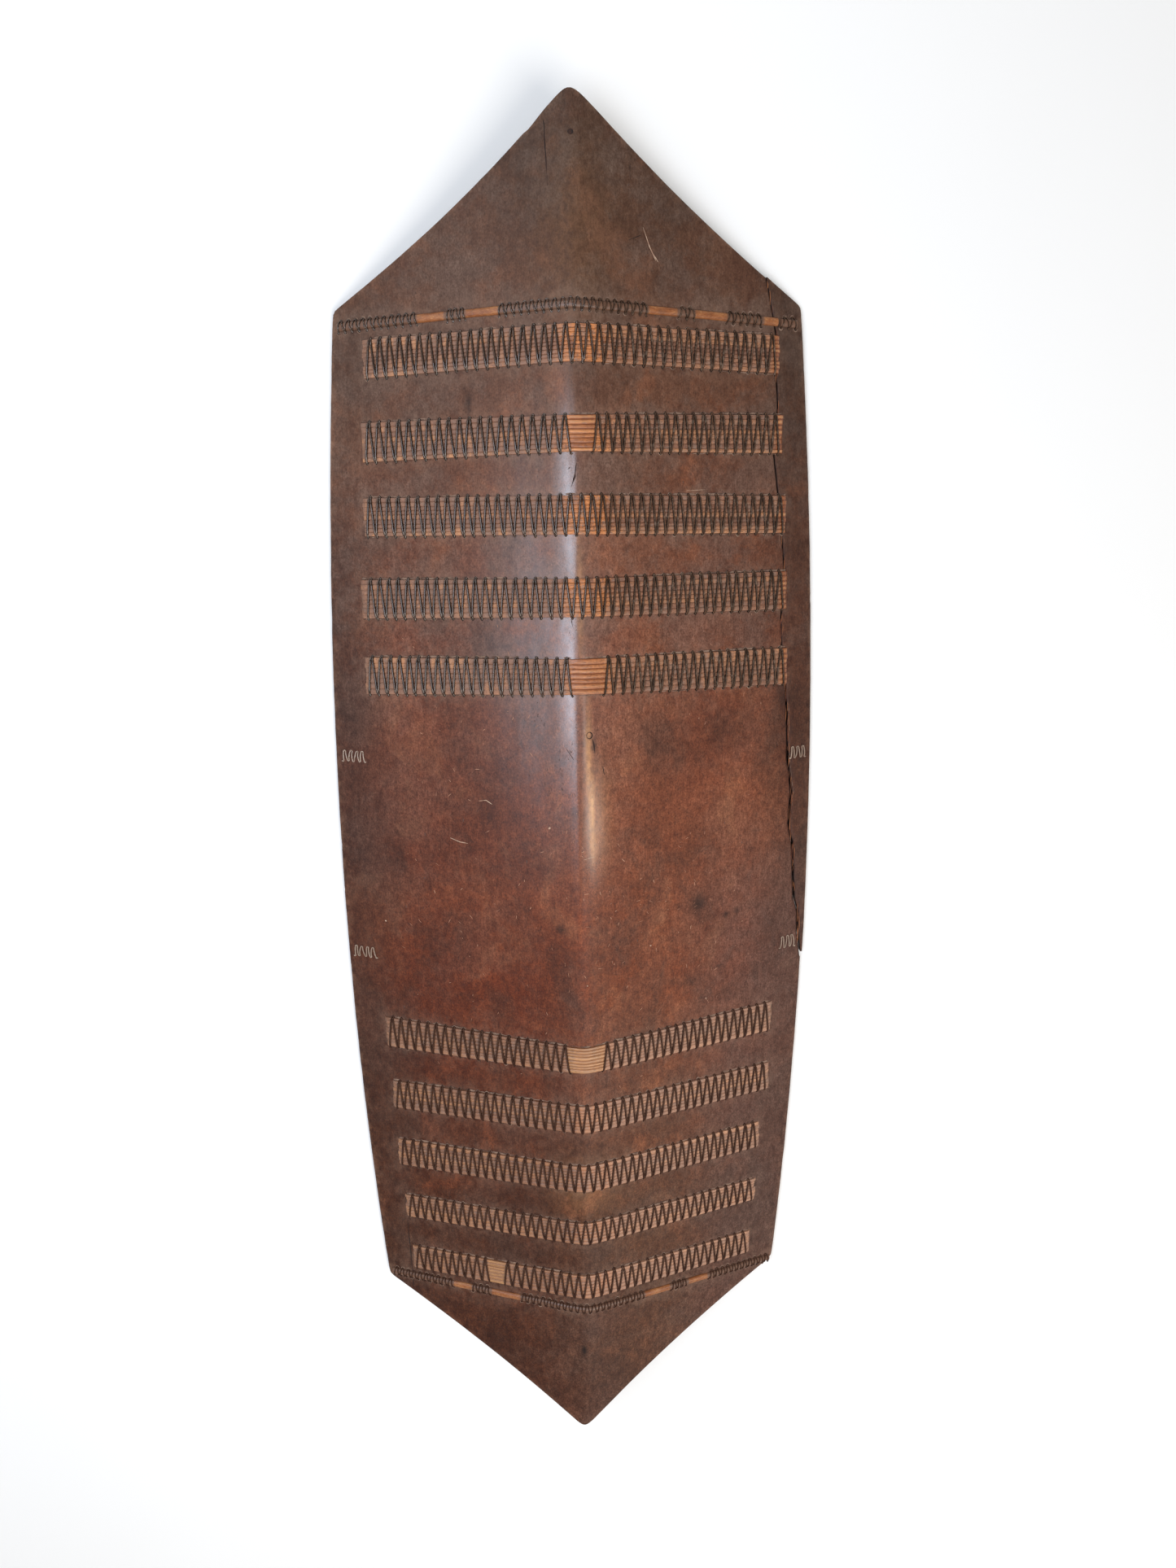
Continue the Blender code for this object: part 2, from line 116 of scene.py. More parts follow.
# Short rows of stitches: their middle line, height, and ends measured from the side edge
Stitch = collections.namedtuple("Stitch", "name side middle height inner outer")
EDGE_STITCHES = (
    Stitch("upper_left", -1, 0.0786, 0.0095, 0.0275, 0.0065),
    Stitch("upper_right", 1, 0.0719, 0.0105, 0.0196, 0.0040),
    Stitch("lower_left", -1, -0.1105, 0.0105, 0.0272, 0.0050),
    Stitch("lower_right", 1, -0.1152, 0.0115, 0.0239, 0.0080),
)
BANDS = [(1, row) for row in UPPER_BANDS] + [(-1, row) for row in LOWER_BANDS]

# Cords: length of one turn along the band, half thickness, how high the middle rises over the
# wood, radii of the loops at the upper and lower edge and of the wood's lips round them, sides,
# half thickness of the turns behind the board, and how far turns are out of place
Cord = collections.namedtuple(
    "Cord", "pitch radius rise upper_loop lower_loop lip sides radius_behind wild"
)
UPPER_CORD = Cord(0.0084, 0.00094, BAND_TOP + 0.0007, 0.0007, 0.0004, 0.0017, 10, 0.0008, 0.0003)
LOWER_CORD = Cord(0.0084, 0.00090, BAND_TOP + 0.0007, 0.0007, 0.0004, 0.0017, 10, 0.0008, 0.0003)
CANE_CORD = Cord(0.0060, 0.00062, CANE_TOP + 0.0004, 0.0011, 0.0004, 0.0019, 7, 0.0006, 0.0003)
STITCH_CORD = Cord(0.0055, 0.0007, 0.0009, 0.0010, 0.0008, None, 7, 0.0006, 0.0007)
HOLE_SIZE = 0.0011
CORD_BESIDE_BAND = 0.0010
CORD_FROM_CANE = 0.0052
# How far from its band's ends a cord starts and stops, and where the fourth one starts
CORD_FROM_ENDS = (0.0030, 0.0036)
FOURTH_FROM_LEFT = 0.0048
LOOP_ANGLES = np.radians([0, 36, 72, 108, 144, 180])
STROKE_SHARES = (0.07, 0.18, 0.34, 0.5, 0.66, 0.82, 0.93)


# Shape of the board
def side_line(y):
    return SHOULDER_HALF + BULGE * (1 - (y / SHOULDER) ** 2)


def rounded(x):
    return np.hypot(x, RIDGE_ROUND) - RIDGE_ROUND


def ridge_height(y):
    return RIDGE_HEIGHT - RIDGE_FALL * (y / HALF_LENGTH) ** 2


def face_height(x, y):
    share = rounded(x) / rounded(side_line(y))
    return RIM_HEIGHT + (ridge_height(y) - RIM_HEIGHT) * (1 - share)


def back_height(x, y):
    share = rounded(x) / rounded(side_line(y) - RIM_WIDTH)
    return np.maximum(0.0, (ridge_height(y) - RIDGE_THICKNESS) * (1 - share))


def unit(vectors):
    """The same directions with length 1."""
    return vectors / (np.linalg.norm(vectors, axis=-1, keepdims=True) + 1e-12)


def face_normal(x, y):
    step = 0.0005
    slope_x = (face_height(x + step, y) - face_height(x - step, y)) / (2 * step)
    slope_y = (face_height(x, y + step) - face_height(x, y - step)) / (2 * step)
    return unit(np.stack([-slope_x, -slope_y, np.ones_like(slope_x)], axis=-1))


def on_face(x, y, lift):
    """Points that stand lift above the face, along its slope's normal."""
    x, y = np.broadcast_arrays(np.asarray(x, float), np.asarray(y, float))
    foot = np.stack([x, y, face_height(x, y)], axis=-1)
    return foot + face_normal(x, y) * np.asarray(lift)[..., None]


def outline(y, side):
    """The x of the outline at y: the bulging side, rounded at the shoulder to a point's edge."""
    point = UPPER_POINT if y > 0 else LOWER_POINT
    left = (point.left_skew, point.left_hollow)
    skew, hollow = left if side < 0 else (point.right_skew, point.right_hollow)
    shoulder = SHOULDER + skew
    full = side_line(shoulder)

    def straight(at):
        along = (at - shoulder) / (HALF_LENGTH + point.radius - shoulder)
        return full * (1 - along) * (1 - hollow * along)

    slanting = math.sqrt(max(0.0, straight(abs(y)) ** 2 - straight(HALF_LENGTH) ** 2))
    along = min(1.0, max(0.0, (abs(y) - shoulder) / (HALF_LENGTH - shoulder)))
    apart = math.hypot(slanting - side_line(y), 2 * SHOULDER_ROUND)
    width = (slanting + side_line(y) - apart) / 2
    return side * max(width, 0.0) + point.shift * along


def split_x(y):
    """The x of the long split, or None beyond its ends."""
    if not SPLIT_END <= y <= SPLIT_TOP:
        return None
    below, inset = zip(*SPLIT)
    return side_line(y) - np.interp(SHOULDER - y, below, inset)


def cloud(x, y, size_x, size_y, seed):
    """Smooth random values from -1 to 1, in blobs of about that size."""
    x, y = np.broadcast_arrays(np.asarray(x, float), np.asarray(y, float))
    across = (x + 0.7) / size_x
    along = (y + 0.7) / size_y
    shape = (int(1.4 / size_x) + 3, int(1.4 / size_y) + 3)
    table = np.random.default_rng(seed).uniform(-1, 1, shape)
    i = np.floor(across).astype(int)
    j = np.floor(along).astype(int)
    s = across - i
    t = along - j
    s = s * s * (3 - 2 * s)
    t = t * t * (3 - 2 * t)
    low = table[i, j] * (1 - s) + table[i + 1, j] * s
    high = table[i, j + 1] * (1 - s) + table[i + 1, j + 1] * s
    return low * (1 - t) + high * t


# Meshes
def new_object(name, data):
    """An object of the scene with that mesh, light or camera."""
    item = bpy.data.objects.new(name, data)
    bpy.context.scene.collection.objects.link(item)
    return item


def mesh_object(name, points, faces, material, marks, sharp=None):
    """A piece from its points and faces, with named values on its points."""
    mesh = bpy.data.meshes.new(name)
    mesh.from_pydata(points.tolist(), [], faces)
    mesh.shade_smooth()
    if sharp:
        mesh.set_sharp_from_angle(angle=math.radians(sharp))
    for mark, values in marks.items():
        layer = mesh.attributes.new(mark, "FLOAT", "POINT")
        layer.data.foreach_set("value", np.asarray(values, np.float32).ravel())
    mesh.materials.append(material)
    piece = new_object(name, mesh)
    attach(piece, "root")
    return piece


def ring_faces(rows, count, first=0):
    """Faces of a closed loft through that many rings of count points, with both ends filled."""
    row = np.arange(rows - 1)[:, None] * count + first
    here = np.arange(count)[None, :]
    after = (here + 1) % count
    quads = np.stack([row + here, row + after, row + count + after, row + count + here], axis=-1)
    faces = quads.reshape(-1, 4).tolist()
    faces.append(list(range(first + count - 1, first - 1, -1)))
    last = first + (rows - 1) * count
    faces.append(list(range(last, last + count)))
    return faces


def loft(name, rings, material, marks, sharp=None):
    """A piece through rings of points."""
    faces = ring_faces(*rings.shape[:2])
    return mesh_object(name, rings.reshape(-1, 3), faces, material, marks, sharp)


def laid_rings(x, y, lift, depth):
    """Rings of a piece on the face: its top at lift, its underside at depth in the wood."""
    under = on_face(x[:, [-1, 0]], y[:, [-1, 0]], -depth)
    return np.concatenate([on_face(x, y, lift), under], axis=1)


class Strands:
    """Gathers many tubes into one mesh."""

    def __init__(self):
        self.points = []
        self.faces = []
        self.marks = collections.defaultdict(list)
        self.count = 0

    def tube(self, path, normals, radius, sides, flat, tint=0.0):
        """A tube along path. flat squeezes it along the normals, and tint marks its points."""
        steps = len(path)
        tangent = unit(np.gradient(path, axis=0))
        up = unit(normals - (normals * tangent).sum(1, keepdims=True) * tangent)
        across = np.cross(up, tangent)
        angle = np.arange(sides) * 2 * math.pi / sides
        radius = np.broadcast_to(radius, (steps,))[:, None, None]
        ring = np.cos(angle)[None, :, None] * across[:, None, :]
        ring = ring + flat * np.sin(angle)[None, :, None] * up[:, None, :]
        points = path[:, None, :] + radius * ring
        self.points.append(points.reshape(-1, 3))
        self.faces += ring_faces(steps, sides, self.count)
        self.count += steps * sides
        length = np.concatenate([[0], np.cumsum(np.linalg.norm(np.diff(path, axis=0), axis=1))])
        self.marks["along"].append(np.repeat(length, sides))
        self.marks["around"].append(np.tile(angle / (2 * math.pi), steps))
        self.marks["tint"].append(np.repeat(np.broadcast_to(tint, (steps,)), sides))

    def laid(self, x, y, lift, *shape):
        """A tube along the face, at that height above it."""
        self.tube(on_face(x, y, lift), face_normal(x, y), *shape)

    def piece(self, name, material, slot):
        marks = {mark: np.concatenate(values) for mark, values in self.marks.items()}
        return mesh_object(name, np.concatenate(self.points), self.faces, material, marks)


# Materials
def tone(red, green, blue):
    """A colour given from 0 to 255, as the shaders' linear values."""
    return tuple(
        value / 255 / 12.92 if value < 11 else ((value / 255 + 0.055) / 1.055) ** 2.4
        for value in (red, green, blue)
    )


class Look:
    """A material on which colours are laid over one another, and short ways to add nodes.
    Where parts are multiplied, a tuple stands for the span with those arguments."""

    def __init__(self, name):
        self.material = bpy.data.materials.new(name)
        self.material.use_nodes = True
        self.tree = self.material.node_tree
        self.place = self.node("TexCoord").outputs["Object"]
        self.colour = None

    def feed(self, socket, value):
        if isinstance(value, bpy.types.NodeSocket):
            self.tree.links.new(value, socket)
        else:
            socket.default_value = (*value, 1.0) if socket.type == "RGBA" else value

    def node(self, kind, inputs=()):
        """A new node, with its inputs fed by name or number."""
        node = self.tree.nodes.new("ShaderNode" + kind)
        for key, value in dict(inputs).items():
            self.feed(node.inputs[key], value)
        return node

    def finish(self, inputs):
        """The material, once its shader has the colour and these inputs."""
        shader = self.tree.nodes["Principled BSDF"]
        for name, value in {"Base Color": self.colour, **inputs}.items():
            self.feed(shader.inputs[name], value)
        return self.material

    def mark(self, name):
        node = self.node("Attribute")
        node.attribute_name = name
        return node.outputs["Fac"]

    def axes(self):
        return self.node("SeparateXYZ", {0: self.place}).outputs

    def scaled(self, stretch):
        return self.node("Mapping", {"Vector": self.place, "Scale": stretch}).outputs[0]

    def noise(self, stretch, detail, rough=0.55, distortion=0.0):
        inputs = {"Vector": self.scaled(stretch), "Scale": 1.0, "Detail": detail}
        inputs.update({"Roughness": rough, "Distortion": distortion})
        return self.node("TexNoise", inputs).outputs["Fac"]

    def cells(self, stretch):
        inputs = {"Vector": self.scaled(stretch), "Scale": 1.0}
        return self.node("TexVoronoi", inputs).outputs["Distance"]

    def math(self, operation, *values):
        node = self.node("Math", enumerate(values))
        node.operation = operation
        return node.outputs[0]

    def plus(self, value, other):
        return self.math("ADD", value, other)

    def most(self, value, other):
        return self.math("MAXIMUM", value, other)

    def minus(self, value, other):
        return self.math("SUBTRACT", value, other)

    def away(self, value, centre=0.0):
        """How far a value is from that centre, on either side."""
        return self.math("ABSOLUTE", self.minus(value, centre))

    def span(self, value, low, high, start=0.0, end=1.0, smooth=True):
        """value from low to high becomes start to end."""
        node = self.node("MapRange", enumerate((value, low, high, start, end)))
        node.interpolation_type = "SMOOTHSTEP" if smooth else "LINEAR"
        return node.outputs[0]

    def times(self, *parts):
        product, *others = (self.span(*part) if isinstance(part, tuple) else part for part in parts)
        for other in others:
            product = self.math("MULTIPLY", product, other)
        return product

    def mix(self, factor, a, b, blend="MIX"):
        node = self.node("Mix")
        node.data_type = "RGBA"
        node.blend_type = blend
        for number, value in ((0, factor), (6, a), (7, b)):
            self.feed(node.inputs[number], value)
        return node.outputs[2]

    def paint(self, colour, *parts, blend="MIX"):
        """Lays a colour over those before it, as strong as the product of the parts."""
        self.colour = self.mix(self.times(*parts), self.colour, colour, blend)

    def shade(self, colour, *parts):
        """Multiplies the colours before it by this one."""
        self.paint(colour, *parts, blend="MULTIPLY")

    def ramp(self, value, *stops):
        """Colours that follow a value, each stop its place and then the colour from 0 to 255."""
        node = self.node("ValToRGB", {0: value})
        elements = node.color_ramp.elements
        while len(elements) < len(stops):
            elements.new(0.5)
        for element, (place, *colour) in zip(elements, stops):
            element.position = place
            element.color = (*tone(*colour), 1.0)
        return node.outputs[0]

    def bump(self, height, strength, distance, below=None):
        inputs = {"Height": height, "Strength": strength, "Distance": distance}
        if below is not None:
            inputs["Normal"] = below
        return self.node("Bump", inputs).outputs[0]


def wood_look():
    """Old dark wood: fine grain and mottling, handled smooth at the ridge and dusty."""
    look = Look("dark_wood_look")
    x, y, _ = look.axes()
    from_ridge = look.away(x)
    from_middle = look.away(y)
    speckle = look.noise((760, 560, 760), 2.0, 0.7)
    fibres = look.noise((420, 40, 420), 4.0, 0.65, 0.3)
    flecks = look.noise((260, 170, 260), 3.0, 0.6)
    mottle = look.noise((120, 90, 120), 5.0, 0.70)
    patches = look.noise((24, 18, 24), 5.0, 0.65, 0.5)
    # Greyer at the upper point, red-brown in the middle and dark at the lower end
    drift = look.plus(y, look.times(look.minus(patches, 0.5), 0.16))
    look.colour = look.ramp(
        look.span(drift, -0.6, 0.6, smooth=False),
        (0.00, 80, 51, 37), (0.17, 83, 51, 33), (0.28, 92, 55, 37), (0.40, 112, 58, 34),
        (0.53, 119, 67, 45), (0.66, 116, 70, 50), (0.80, 95, 63, 47), (1.00, 72, 51, 39),
    )
    plainer = (from_middle, 0.32, 0.47, 1.0, 0.35)
    look.paint(tone(136, 80, 50), (patches, 0.50, 0.70, 0.0, 0.60), plainer)
    look.paint(tone(74, 46, 34), (patches, 0.50, 0.32, 0.0, 0.50))
    # Darker margins, and a greyer right side
    look.paint(tone(76, 52, 38), (from_ridge, 0.140, 0.215, 0.0, 0.55))
    look.paint(tone(58, 36, 27), (x, -0.150, -0.205, 0.0, 0.4), (from_middle, 0.34, 0.24))
    look.shade((0.88, 0.80, 0.77), (x, 0.04, 0.12), (y, 0.00, 0.10), (y, 0.42, 0.36))
    look.paint(tone(88, 62, 56), (x, 0.07, 0.16, 0.0, 0.55), (y, 0.04, -0.09))
    # Painted shade: the left flank is darker, most of all above the middle, and the lower left is
    # darker as well as redder
    end_of_left = (y, -0.048, -0.016, 0.2, 1.0)
    look.shade((0.64, 0.585, 0.61), (x, 0.010, -0.030), (y, 0.36, 0.14), end_of_left, 0.72)
    look.shade((0.72, 0.46, 0.26), (x, 0.02, -0.06), (y, 0.06, -0.20), 0.85)
    look.shade((0.96, 0.91, 0.81), (x, 0.005, 0.060))
    # A lighter stretch of the ridge, and broad uneven light and dark
    look.shade((1.14, 1.02, 0.92), (from_ridge, 0.008, 0.002), (y, -0.02, -0.06), (y, -0.19, -0.15))
    broad = look.span(look.noise((10, 5, 10), 3.0, 0.5), 0.35, 0.65, smooth=False)
    look.shade(look.mix(broad, (0.82, 0.80, 0.78), (1.17, 1.19, 1.21)), 1.0)
    # A thin film of dust lies over parts of the wood, and the bare parts are redder
    film = look.span(look.noise((13, 15, 13), 6.0, 0.75), 0.42, 0.60)
    look.shade((1.03, 0.97, 0.94), look.minus(1.0, film))
    look.paint(tone(96, 78, 68), film, (y, 0.10, 0.20, 0.12, 0.34))
    # Light grains are paler as well as lighter, and the grain is coarser towards the lower point
    lower_grain = (y, -0.504, -0.300, 1.0, 0.85, False)
    upper_grain = (y, 0.144, 0.420, 1.0, 0.60 / 0.85, False)
    for layer, part in ((speckle, 0.38), (flecks, 0.26), (mottle, 0.23), (fibres, 0.14)):
        darker = (1 - part, 1 - 1.2 * part, 1 - 1.3 * part)
        lighter = (1 + part, 1 + 1.25 * part, 1 + 1.45 * part)
        grain = look.mix(look.span(layer, 0.33, 0.67, smooth=False), darker, lighter)
        look.shade(grain, lower_grain, upper_grain)
    # Dust, thickest beside the bands, and dark grime in the pores
    dust = look.times(look.mark("dust"), (mottle, 0.34, 0.60))
    dust = look.most(dust, look.span(patches, 0.54, 0.70, 0.0, 0.30))
    look.paint(tone(140, 112, 94), dust, 0.26)
    pores = look.span(look.cells((430, 220, 430)), 0.0, 0.36, 1.0, 0.0)
    look.paint(tone(40, 25, 18), pores, (mottle, 0.40, 0.60), 0.50)
    # Bare wood in the split, wear on the edges, rubbed places that carry a painted sheen, and stains
    look.paint(look.ramp(fibres, (0.35, 44, 23, 17), (0.65, 94, 52, 35)), look.mark("raw"), 0.9)
    look.paint(tone(150, 112, 88), look.mark("edge"), (mottle, 0.42, 0.60), 0.45)
    # Rubbed places: lighter with wear, and right of the ridge just above the middle a warm painted
    # sheen
    look.paint(tone(218, 158, 100), look.mark("rubbed"), (flecks, 0.30, 0.62, 0.55, 1.0))
    # Dark stains, and painted shade along the lips of the split
    look.paint(tone(20, 12, 9), look.mark("stain"))
    # A hand-polished skin over the ridge, broken by small dents
    polish = look.times(look.mark("polish"), (mottle, 0.66, 0.42, 0.72, 1.0))
    rough = look.plus(look.span(flecks, 0.35, 0.65, 0.58, 0.68), look.times(dust, 0.10))
    below = None
    for layer, strength, depth in (
        (look.noise((70, 30, 70), 4.0, 0.6), 0.30, 0.0010),
        (flecks, 0.50, 0.0006),
        (speckle, 0.40, 0.0003),
        (pores, 0.35, -0.0005),
    ):
        below = look.bump(layer, strength, depth, below)
    return look.finish({
        "Roughness": look.minus(rough, look.times(polish, 0.22)),
        "Specular IOR Level": 0.26,
        "Coat Weight": polish,
        "Coat Roughness": 0.22,
        "Coat IOR": 2.0,
        "Normal": below,
    })


def rattan_look():
    """Split rattan: each strand has its own brown, with fine fibres along it and dust on top."""
    look = Look("rattan_splints_look")
    x, y, _ = look.axes()
    bare = look.mark("bare")
    crown = look.mark("crown")
    fibres = look.noise((40, 1500, 1500), 4.0, 0.6)
    windows = look.noise((130, 45, 45), 4.0, 0.7)
    own = look.plus(look.times(look.mark("tint"), 0.35), look.times(windows, 0.65))
    browns = ((0.26, 104, 68, 50), (0.42, 158, 108, 80), (0.56, 194, 136, 98), (0.72, 234, 162, 106))
    look.colour = look.ramp(own, *browns)
    look.paint(tone(158, 94, 56), (look.away(x), 0.11, 0.0, 0.0, 0.45))
    ridge = (look.away(x, 0.008), 0.024, 0.012)
    look.paint(tone(214, 132, 72), ridge, (windows, 0.38, 0.54), 0.85)
    # Pale with dust on the left above, greyer on the right, paler on the right below
    left = look.times((x, -0.004, -0.030), (y, 0.0, 0.1))
    look.paint(tone(136, 98, 78), left, (windows, 0.60, 0.48, 0.50, 0.88))
    look.paint(tone(132, 90, 70), (x, 0.012, 0.060), (y, 0.0, 0.1), 0.50)
    low = look.span(y, 0.1, 0.0)
    low_tone = look.mix(look.span(x, -0.030, 0.030), tone(136, 96, 72), tone(182, 140, 116))
    look.paint(low_tone, low, 0.62)
    # Bare stretches are orange
    orange = look.ramp(own, (0.25, 140, 76, 42), (0.70, 194, 124, 74))
    look.paint(look.mix(look.span(y, 0.05, -0.05, 0.0, 0.7), orange, tone(206, 158, 100)), bare)
    # Dark fibres and dust, and painted shade in the grooves between the strands, fewer where dust
    # covers them
    clear = look.minus(1.0, look.plus(look.times(low, 0.30), look.times(left, 0.43)))
    look.paint(tone(74, 46, 34), (fibres, 0.36, 0.58, 0.60, 0.0), clear)
    dust = (look.noise((160, 160, 160), 5.0, 0.7), 0.46, 0.66, 0.0, 0.50)
    look.paint(tone(140, 118, 104), dust, look.minus(1.0, bare), clear)
    broken = look.span(look.noise((110, 60, 60), 3.0, 0.6), 0.35, 0.62, 0.10, 0.55)
    look.paint(tone(60, 34, 22), (crown, 0.0, 0.50, 1.0, 0.0), look.most(broken, bare), clear)
    # Bare strands get painted shade down their rounded sides and a painted highlight along their crowns
    look.paint(tone(124, 66, 36), bare, (crown, 0.35, 0.95, 0.8, 0.0))
    look.paint(tone(236, 176, 122), bare, (crown, 0.80, 1.00, 0.0, 0.4))
    rough = look.span(windows, 0.3, 0.7, 0.46, 0.62)
    below = look.bump(fibres, 0.5, 0.0003)
    return look.finish({
        "Roughness": look.minus(rough, look.times(bare, 0.20)),
        "Normal": look.bump(look.noise((300, 300, 300), 4.0, 0.6), 0.4, 0.0003, below),
    })


def cane_look():
    """Split cane: half glossy, orange-brown, with lengthwise lines and darker patches."""
    look = Look("split_cane_look")
    fibres = look.noise((25, 1400, 1400), 4.0, 0.6)
    blotch = look.noise((45, 200, 200), 4.0, 0.6)
    own = look.plus(look.times(fibres, 0.5), look.times(blotch, 0.5))
    look.colour = look.ramp(own, (0.32, 106, 56, 30), (0.50, 148, 88, 48), (0.66, 182, 126, 78))
    look.paint(tone(100, 74, 60), (look.mark("bare"), 0.0, 1.0, 0.85, 0.0))
    look.paint(tone(112, 76, 54), (look.noise((120, 120, 120), 5.0, 0.7), 0.48, 0.68, 0.0, 0.55))
    rough = look.span(blotch, 0.3, 0.7, 0.32, 0.50)
    return look.finish({"Roughness": rough, "Normal": look.bump(fibres, 0.5, 0.0003)})


def cord_look(name, dark, light, dusty):
    """Smooth plant cord: dark sides, and glossy along the top, where a lighter colour is painted as a
    highlight; dusty cords are pale with dust there.
    """
    look = Look(name)
    x, y, _ = look.axes()
    around = look.mark("around")
    hairs = look.noise((600, 600, 600), 4.0, 0.7)
    look.colour = look.mix(look.span(y, 0.0, -0.15, 0.0, 0.6 * (1 - dusty)), dark, tone(58, 22, 10))
    top = (look.away(around, 0.25), 0.12, 0.02)
    own = (look.mark("tint"), 0.0, 1.0, 0.35, 1.0)
    # Painted highlight: the top of each cord is painted lighter, most of all above the middle and
    # towards the right; on dusty cords the pale top is dust
    lightening = look.times((x, -0.010, 0.030, 0.5, 0.9), (y, 0.08, -0.10, 1.0, 0.3), 1 - dusty)
    look.paint(light, top, own, (hairs, 0.30, 0.60, 0.3, 1.0), look.plus(lightening, dusty))
    dust = (look.noise((240, 240, 240), 5.0, 0.7), 0.50, 0.66)
    upper_right = look.times((x, 0.0, 0.06), (y, 0.0, 0.08), 0.40)
    look.paint(tone(134, 114, 98), dust, look.most(upper_right, dusty))
    matt = look.most(look.span(x, -0.010, 0.030), look.span(y, 0.08, -0.10))
    rough = look.span(hairs, 0.3, 0.7, 0.14, 0.26)
    turns = look.times(look.plus(look.times(look.mark("along"), 90.0), around), 2.0)
    twist = look.bump(look.math("PINGPONG", turns, 1.0), 0.12, 0.0002)
    return look.finish({
        "Roughness": look.plus(rough, look.times(matt, 0.34)),
        "Specular IOR Level": 0.38,
        "Specular Tint": (1.0, 0.74, 0.56),
        "Coat Weight": look.span(matt, 0.0, 1.0, 0.6, 0.0),
        "Coat Roughness": 0.07,
        "Coat IOR": 1.8,
        "Normal": look.bump(hairs, 0.35, 0.0003, twist),
    })


def plain_look(name, one, other, rough, stretch):
    """Two browns mixed in small specks, for fibres, dust, cracks and scratches."""
    look = Look(name)
    specks = look.noise(stretch, 5.0, 0.65)
    look.colour = look.mix(look.span(specks, 0.38, 0.62), tone(*one), tone(*other))
    rough = look.span(specks, 0.3, 0.7, rough, min(1.0, rough + 0.2))
    return look.finish({"Roughness": rough, "Normal": look.bump(specks, 0.4, 0.0003)})


WOOD = wood_look()
RATTAN = rattan_look()
CANE = cane_look()
CORD = cord_look("dark_cord_look", tone(22, 11, 6), tone(112, 78, 58), 0.08)
DUSTY_CORD = cord_look("dusty_cord_look", tone(122, 98, 84), tone(200, 178, 158), 1.0)
SPECKS = (220, 220, 220)
GRAIN = (400, 60, 400)
DUST_LINE = plain_look("dust_line_look", (92, 66, 53), (142, 114, 96), 0.8, SPECKS)
CRACK = plain_look("crack_look", (26, 16, 12), (56, 34, 26), 0.85, GRAIN)
NICK = plain_look("nick_look", (66, 46, 40), (96, 70, 60), 0.6, GRAIN)
PALE = plain_look("scratch_look", (168, 128, 104), (206, 176, 150), 0.7, SPECKS)
FAINT = plain_look("faint_scratch_look", (156, 102, 76), (190, 140, 110), 0.6, SPECKS)
FIBRE = plain_look("fibre_look", (112, 54, 30), (186, 116, 70), 0.55, GRAIN)
# Dark spots of painted shade in the holes of the lashings
HOLE = plain_look("nail_hole_look", (30, 20, 16), (60, 42, 34), 0.9, SPECKS)


# Board and strip
# Soft patches on the face: x, y, half width across and along the board, and strength
STAINS = (
    (0.1087, -0.0620, 0.0080, 0.0075, 0.75),
    (0.1376, -0.0763, 0.0036, 0.0032, 0.90),
    (0.1484, -0.0740, 0.0032, 0.0028, 0.70),
    (0.0894, -0.0606, 0.0028, 0.0028, 0.50),
    (0.1190, -0.0750, 0.0120, 0.0110, 0.30),
    (0.1236, -0.0890, 0.0100, 0.0090, 0.25),
    (0.1310, -0.1270, 0.0034, 0.0030, 0.50),
    (0.1028, -0.1370, 0.0090, 0.0050, 0.45),
    (0.0850, -0.1340, 0.0050, 0.0040, 0.35),
    (0.1400, -0.1540, 0.0140, 0.0080, 0.28),
    (-0.0194, -0.0699, 0.0040, 0.0038, 0.90),
    (-0.0032, -0.5145, 0.0030, 0.0060, 0.95),
    (-0.0870, 0.3800, 0.0022, 0.0110, 0.70),
    (-0.0900, 0.3890, 0.0016, 0.0060, 0.60),
    (0.0117, 0.0960, 0.0018, 0.0055, 0.80),
    (-0.0450, -0.0100, 0.0160, 0.0300, 0.20),
    (-0.0800, 0.0350, 0.0080, 0.0160, 0.35),
    (0.1350, 0.1000, 0.0200, 0.0150, 0.35),
    (0.1900, 0.1250, 0.0060, 0.0180, 0.55),
    (-0.1700, -0.2400, 0.0200, 0.0500, 0.20),
    (0.0300, -0.5400, 0.0260, 0.0400, 0.25),
)
# Rubbed places, as x, y, half width across and along the board, and strength: lighter with wear, and
# right of the ridge just above the middle a painted sheen
RUBBED_AND_SHEEN = (
    (0.0092, 0.0420, 0.0030, 0.0320, 0.85),
    (0.0100, 0.0120, 0.0034, 0.0190, 0.65),
    (0.0068, 0.0850, 0.0026, 0.0380, 0.62),
    (0.0140, 0.0350, 0.0110, 0.0450, 0.22),
    (0.0010, 0.2200, 0.0030, 0.0500, 0.25),
    (0.1000, 0.2900, 0.0060, 0.0120, 0.20),
    (0.0000, -0.3300, 0.0300, 0.0300, 0.12),
    (0.0040, 0.5000, 0.0300, 0.0800, 0.06),
    (0.1080, 0.2950, 0.0014, 0.0100, 0.35),
)
GLOSS = (
    (-0.0060, 0.3000, 0.0130, 0.0900, 0.75),
    (-0.0130, 0.1550, 0.0130, 0.1000, 0.92),
    (-0.0320, 0.1750, 0.0440, 0.1380, 0.72),
    (0.0130, 0.0400, 0.0080, 0.0500, 0.80),
)
# Dust lies this far from the bands, and from the middle of a cane
DUST_REACH = 0.007
DUST_FROM_CANE = 0.005
NOTCH = (0.5780, 0.5810, 0.5830, 0.5930)
NOTCH_DEPTH = 0.0013
# Rounded edges of the wood: their radius, points near the edge, and how far in the last one is
EDGE_RADIUS = 0.0024
EDGE_STEPS = np.array([0.0, 0.0003, 0.0009, 0.0018, 0.0032])
EDGE_DEPTH = 0.0052
THINNEST = 0.0015
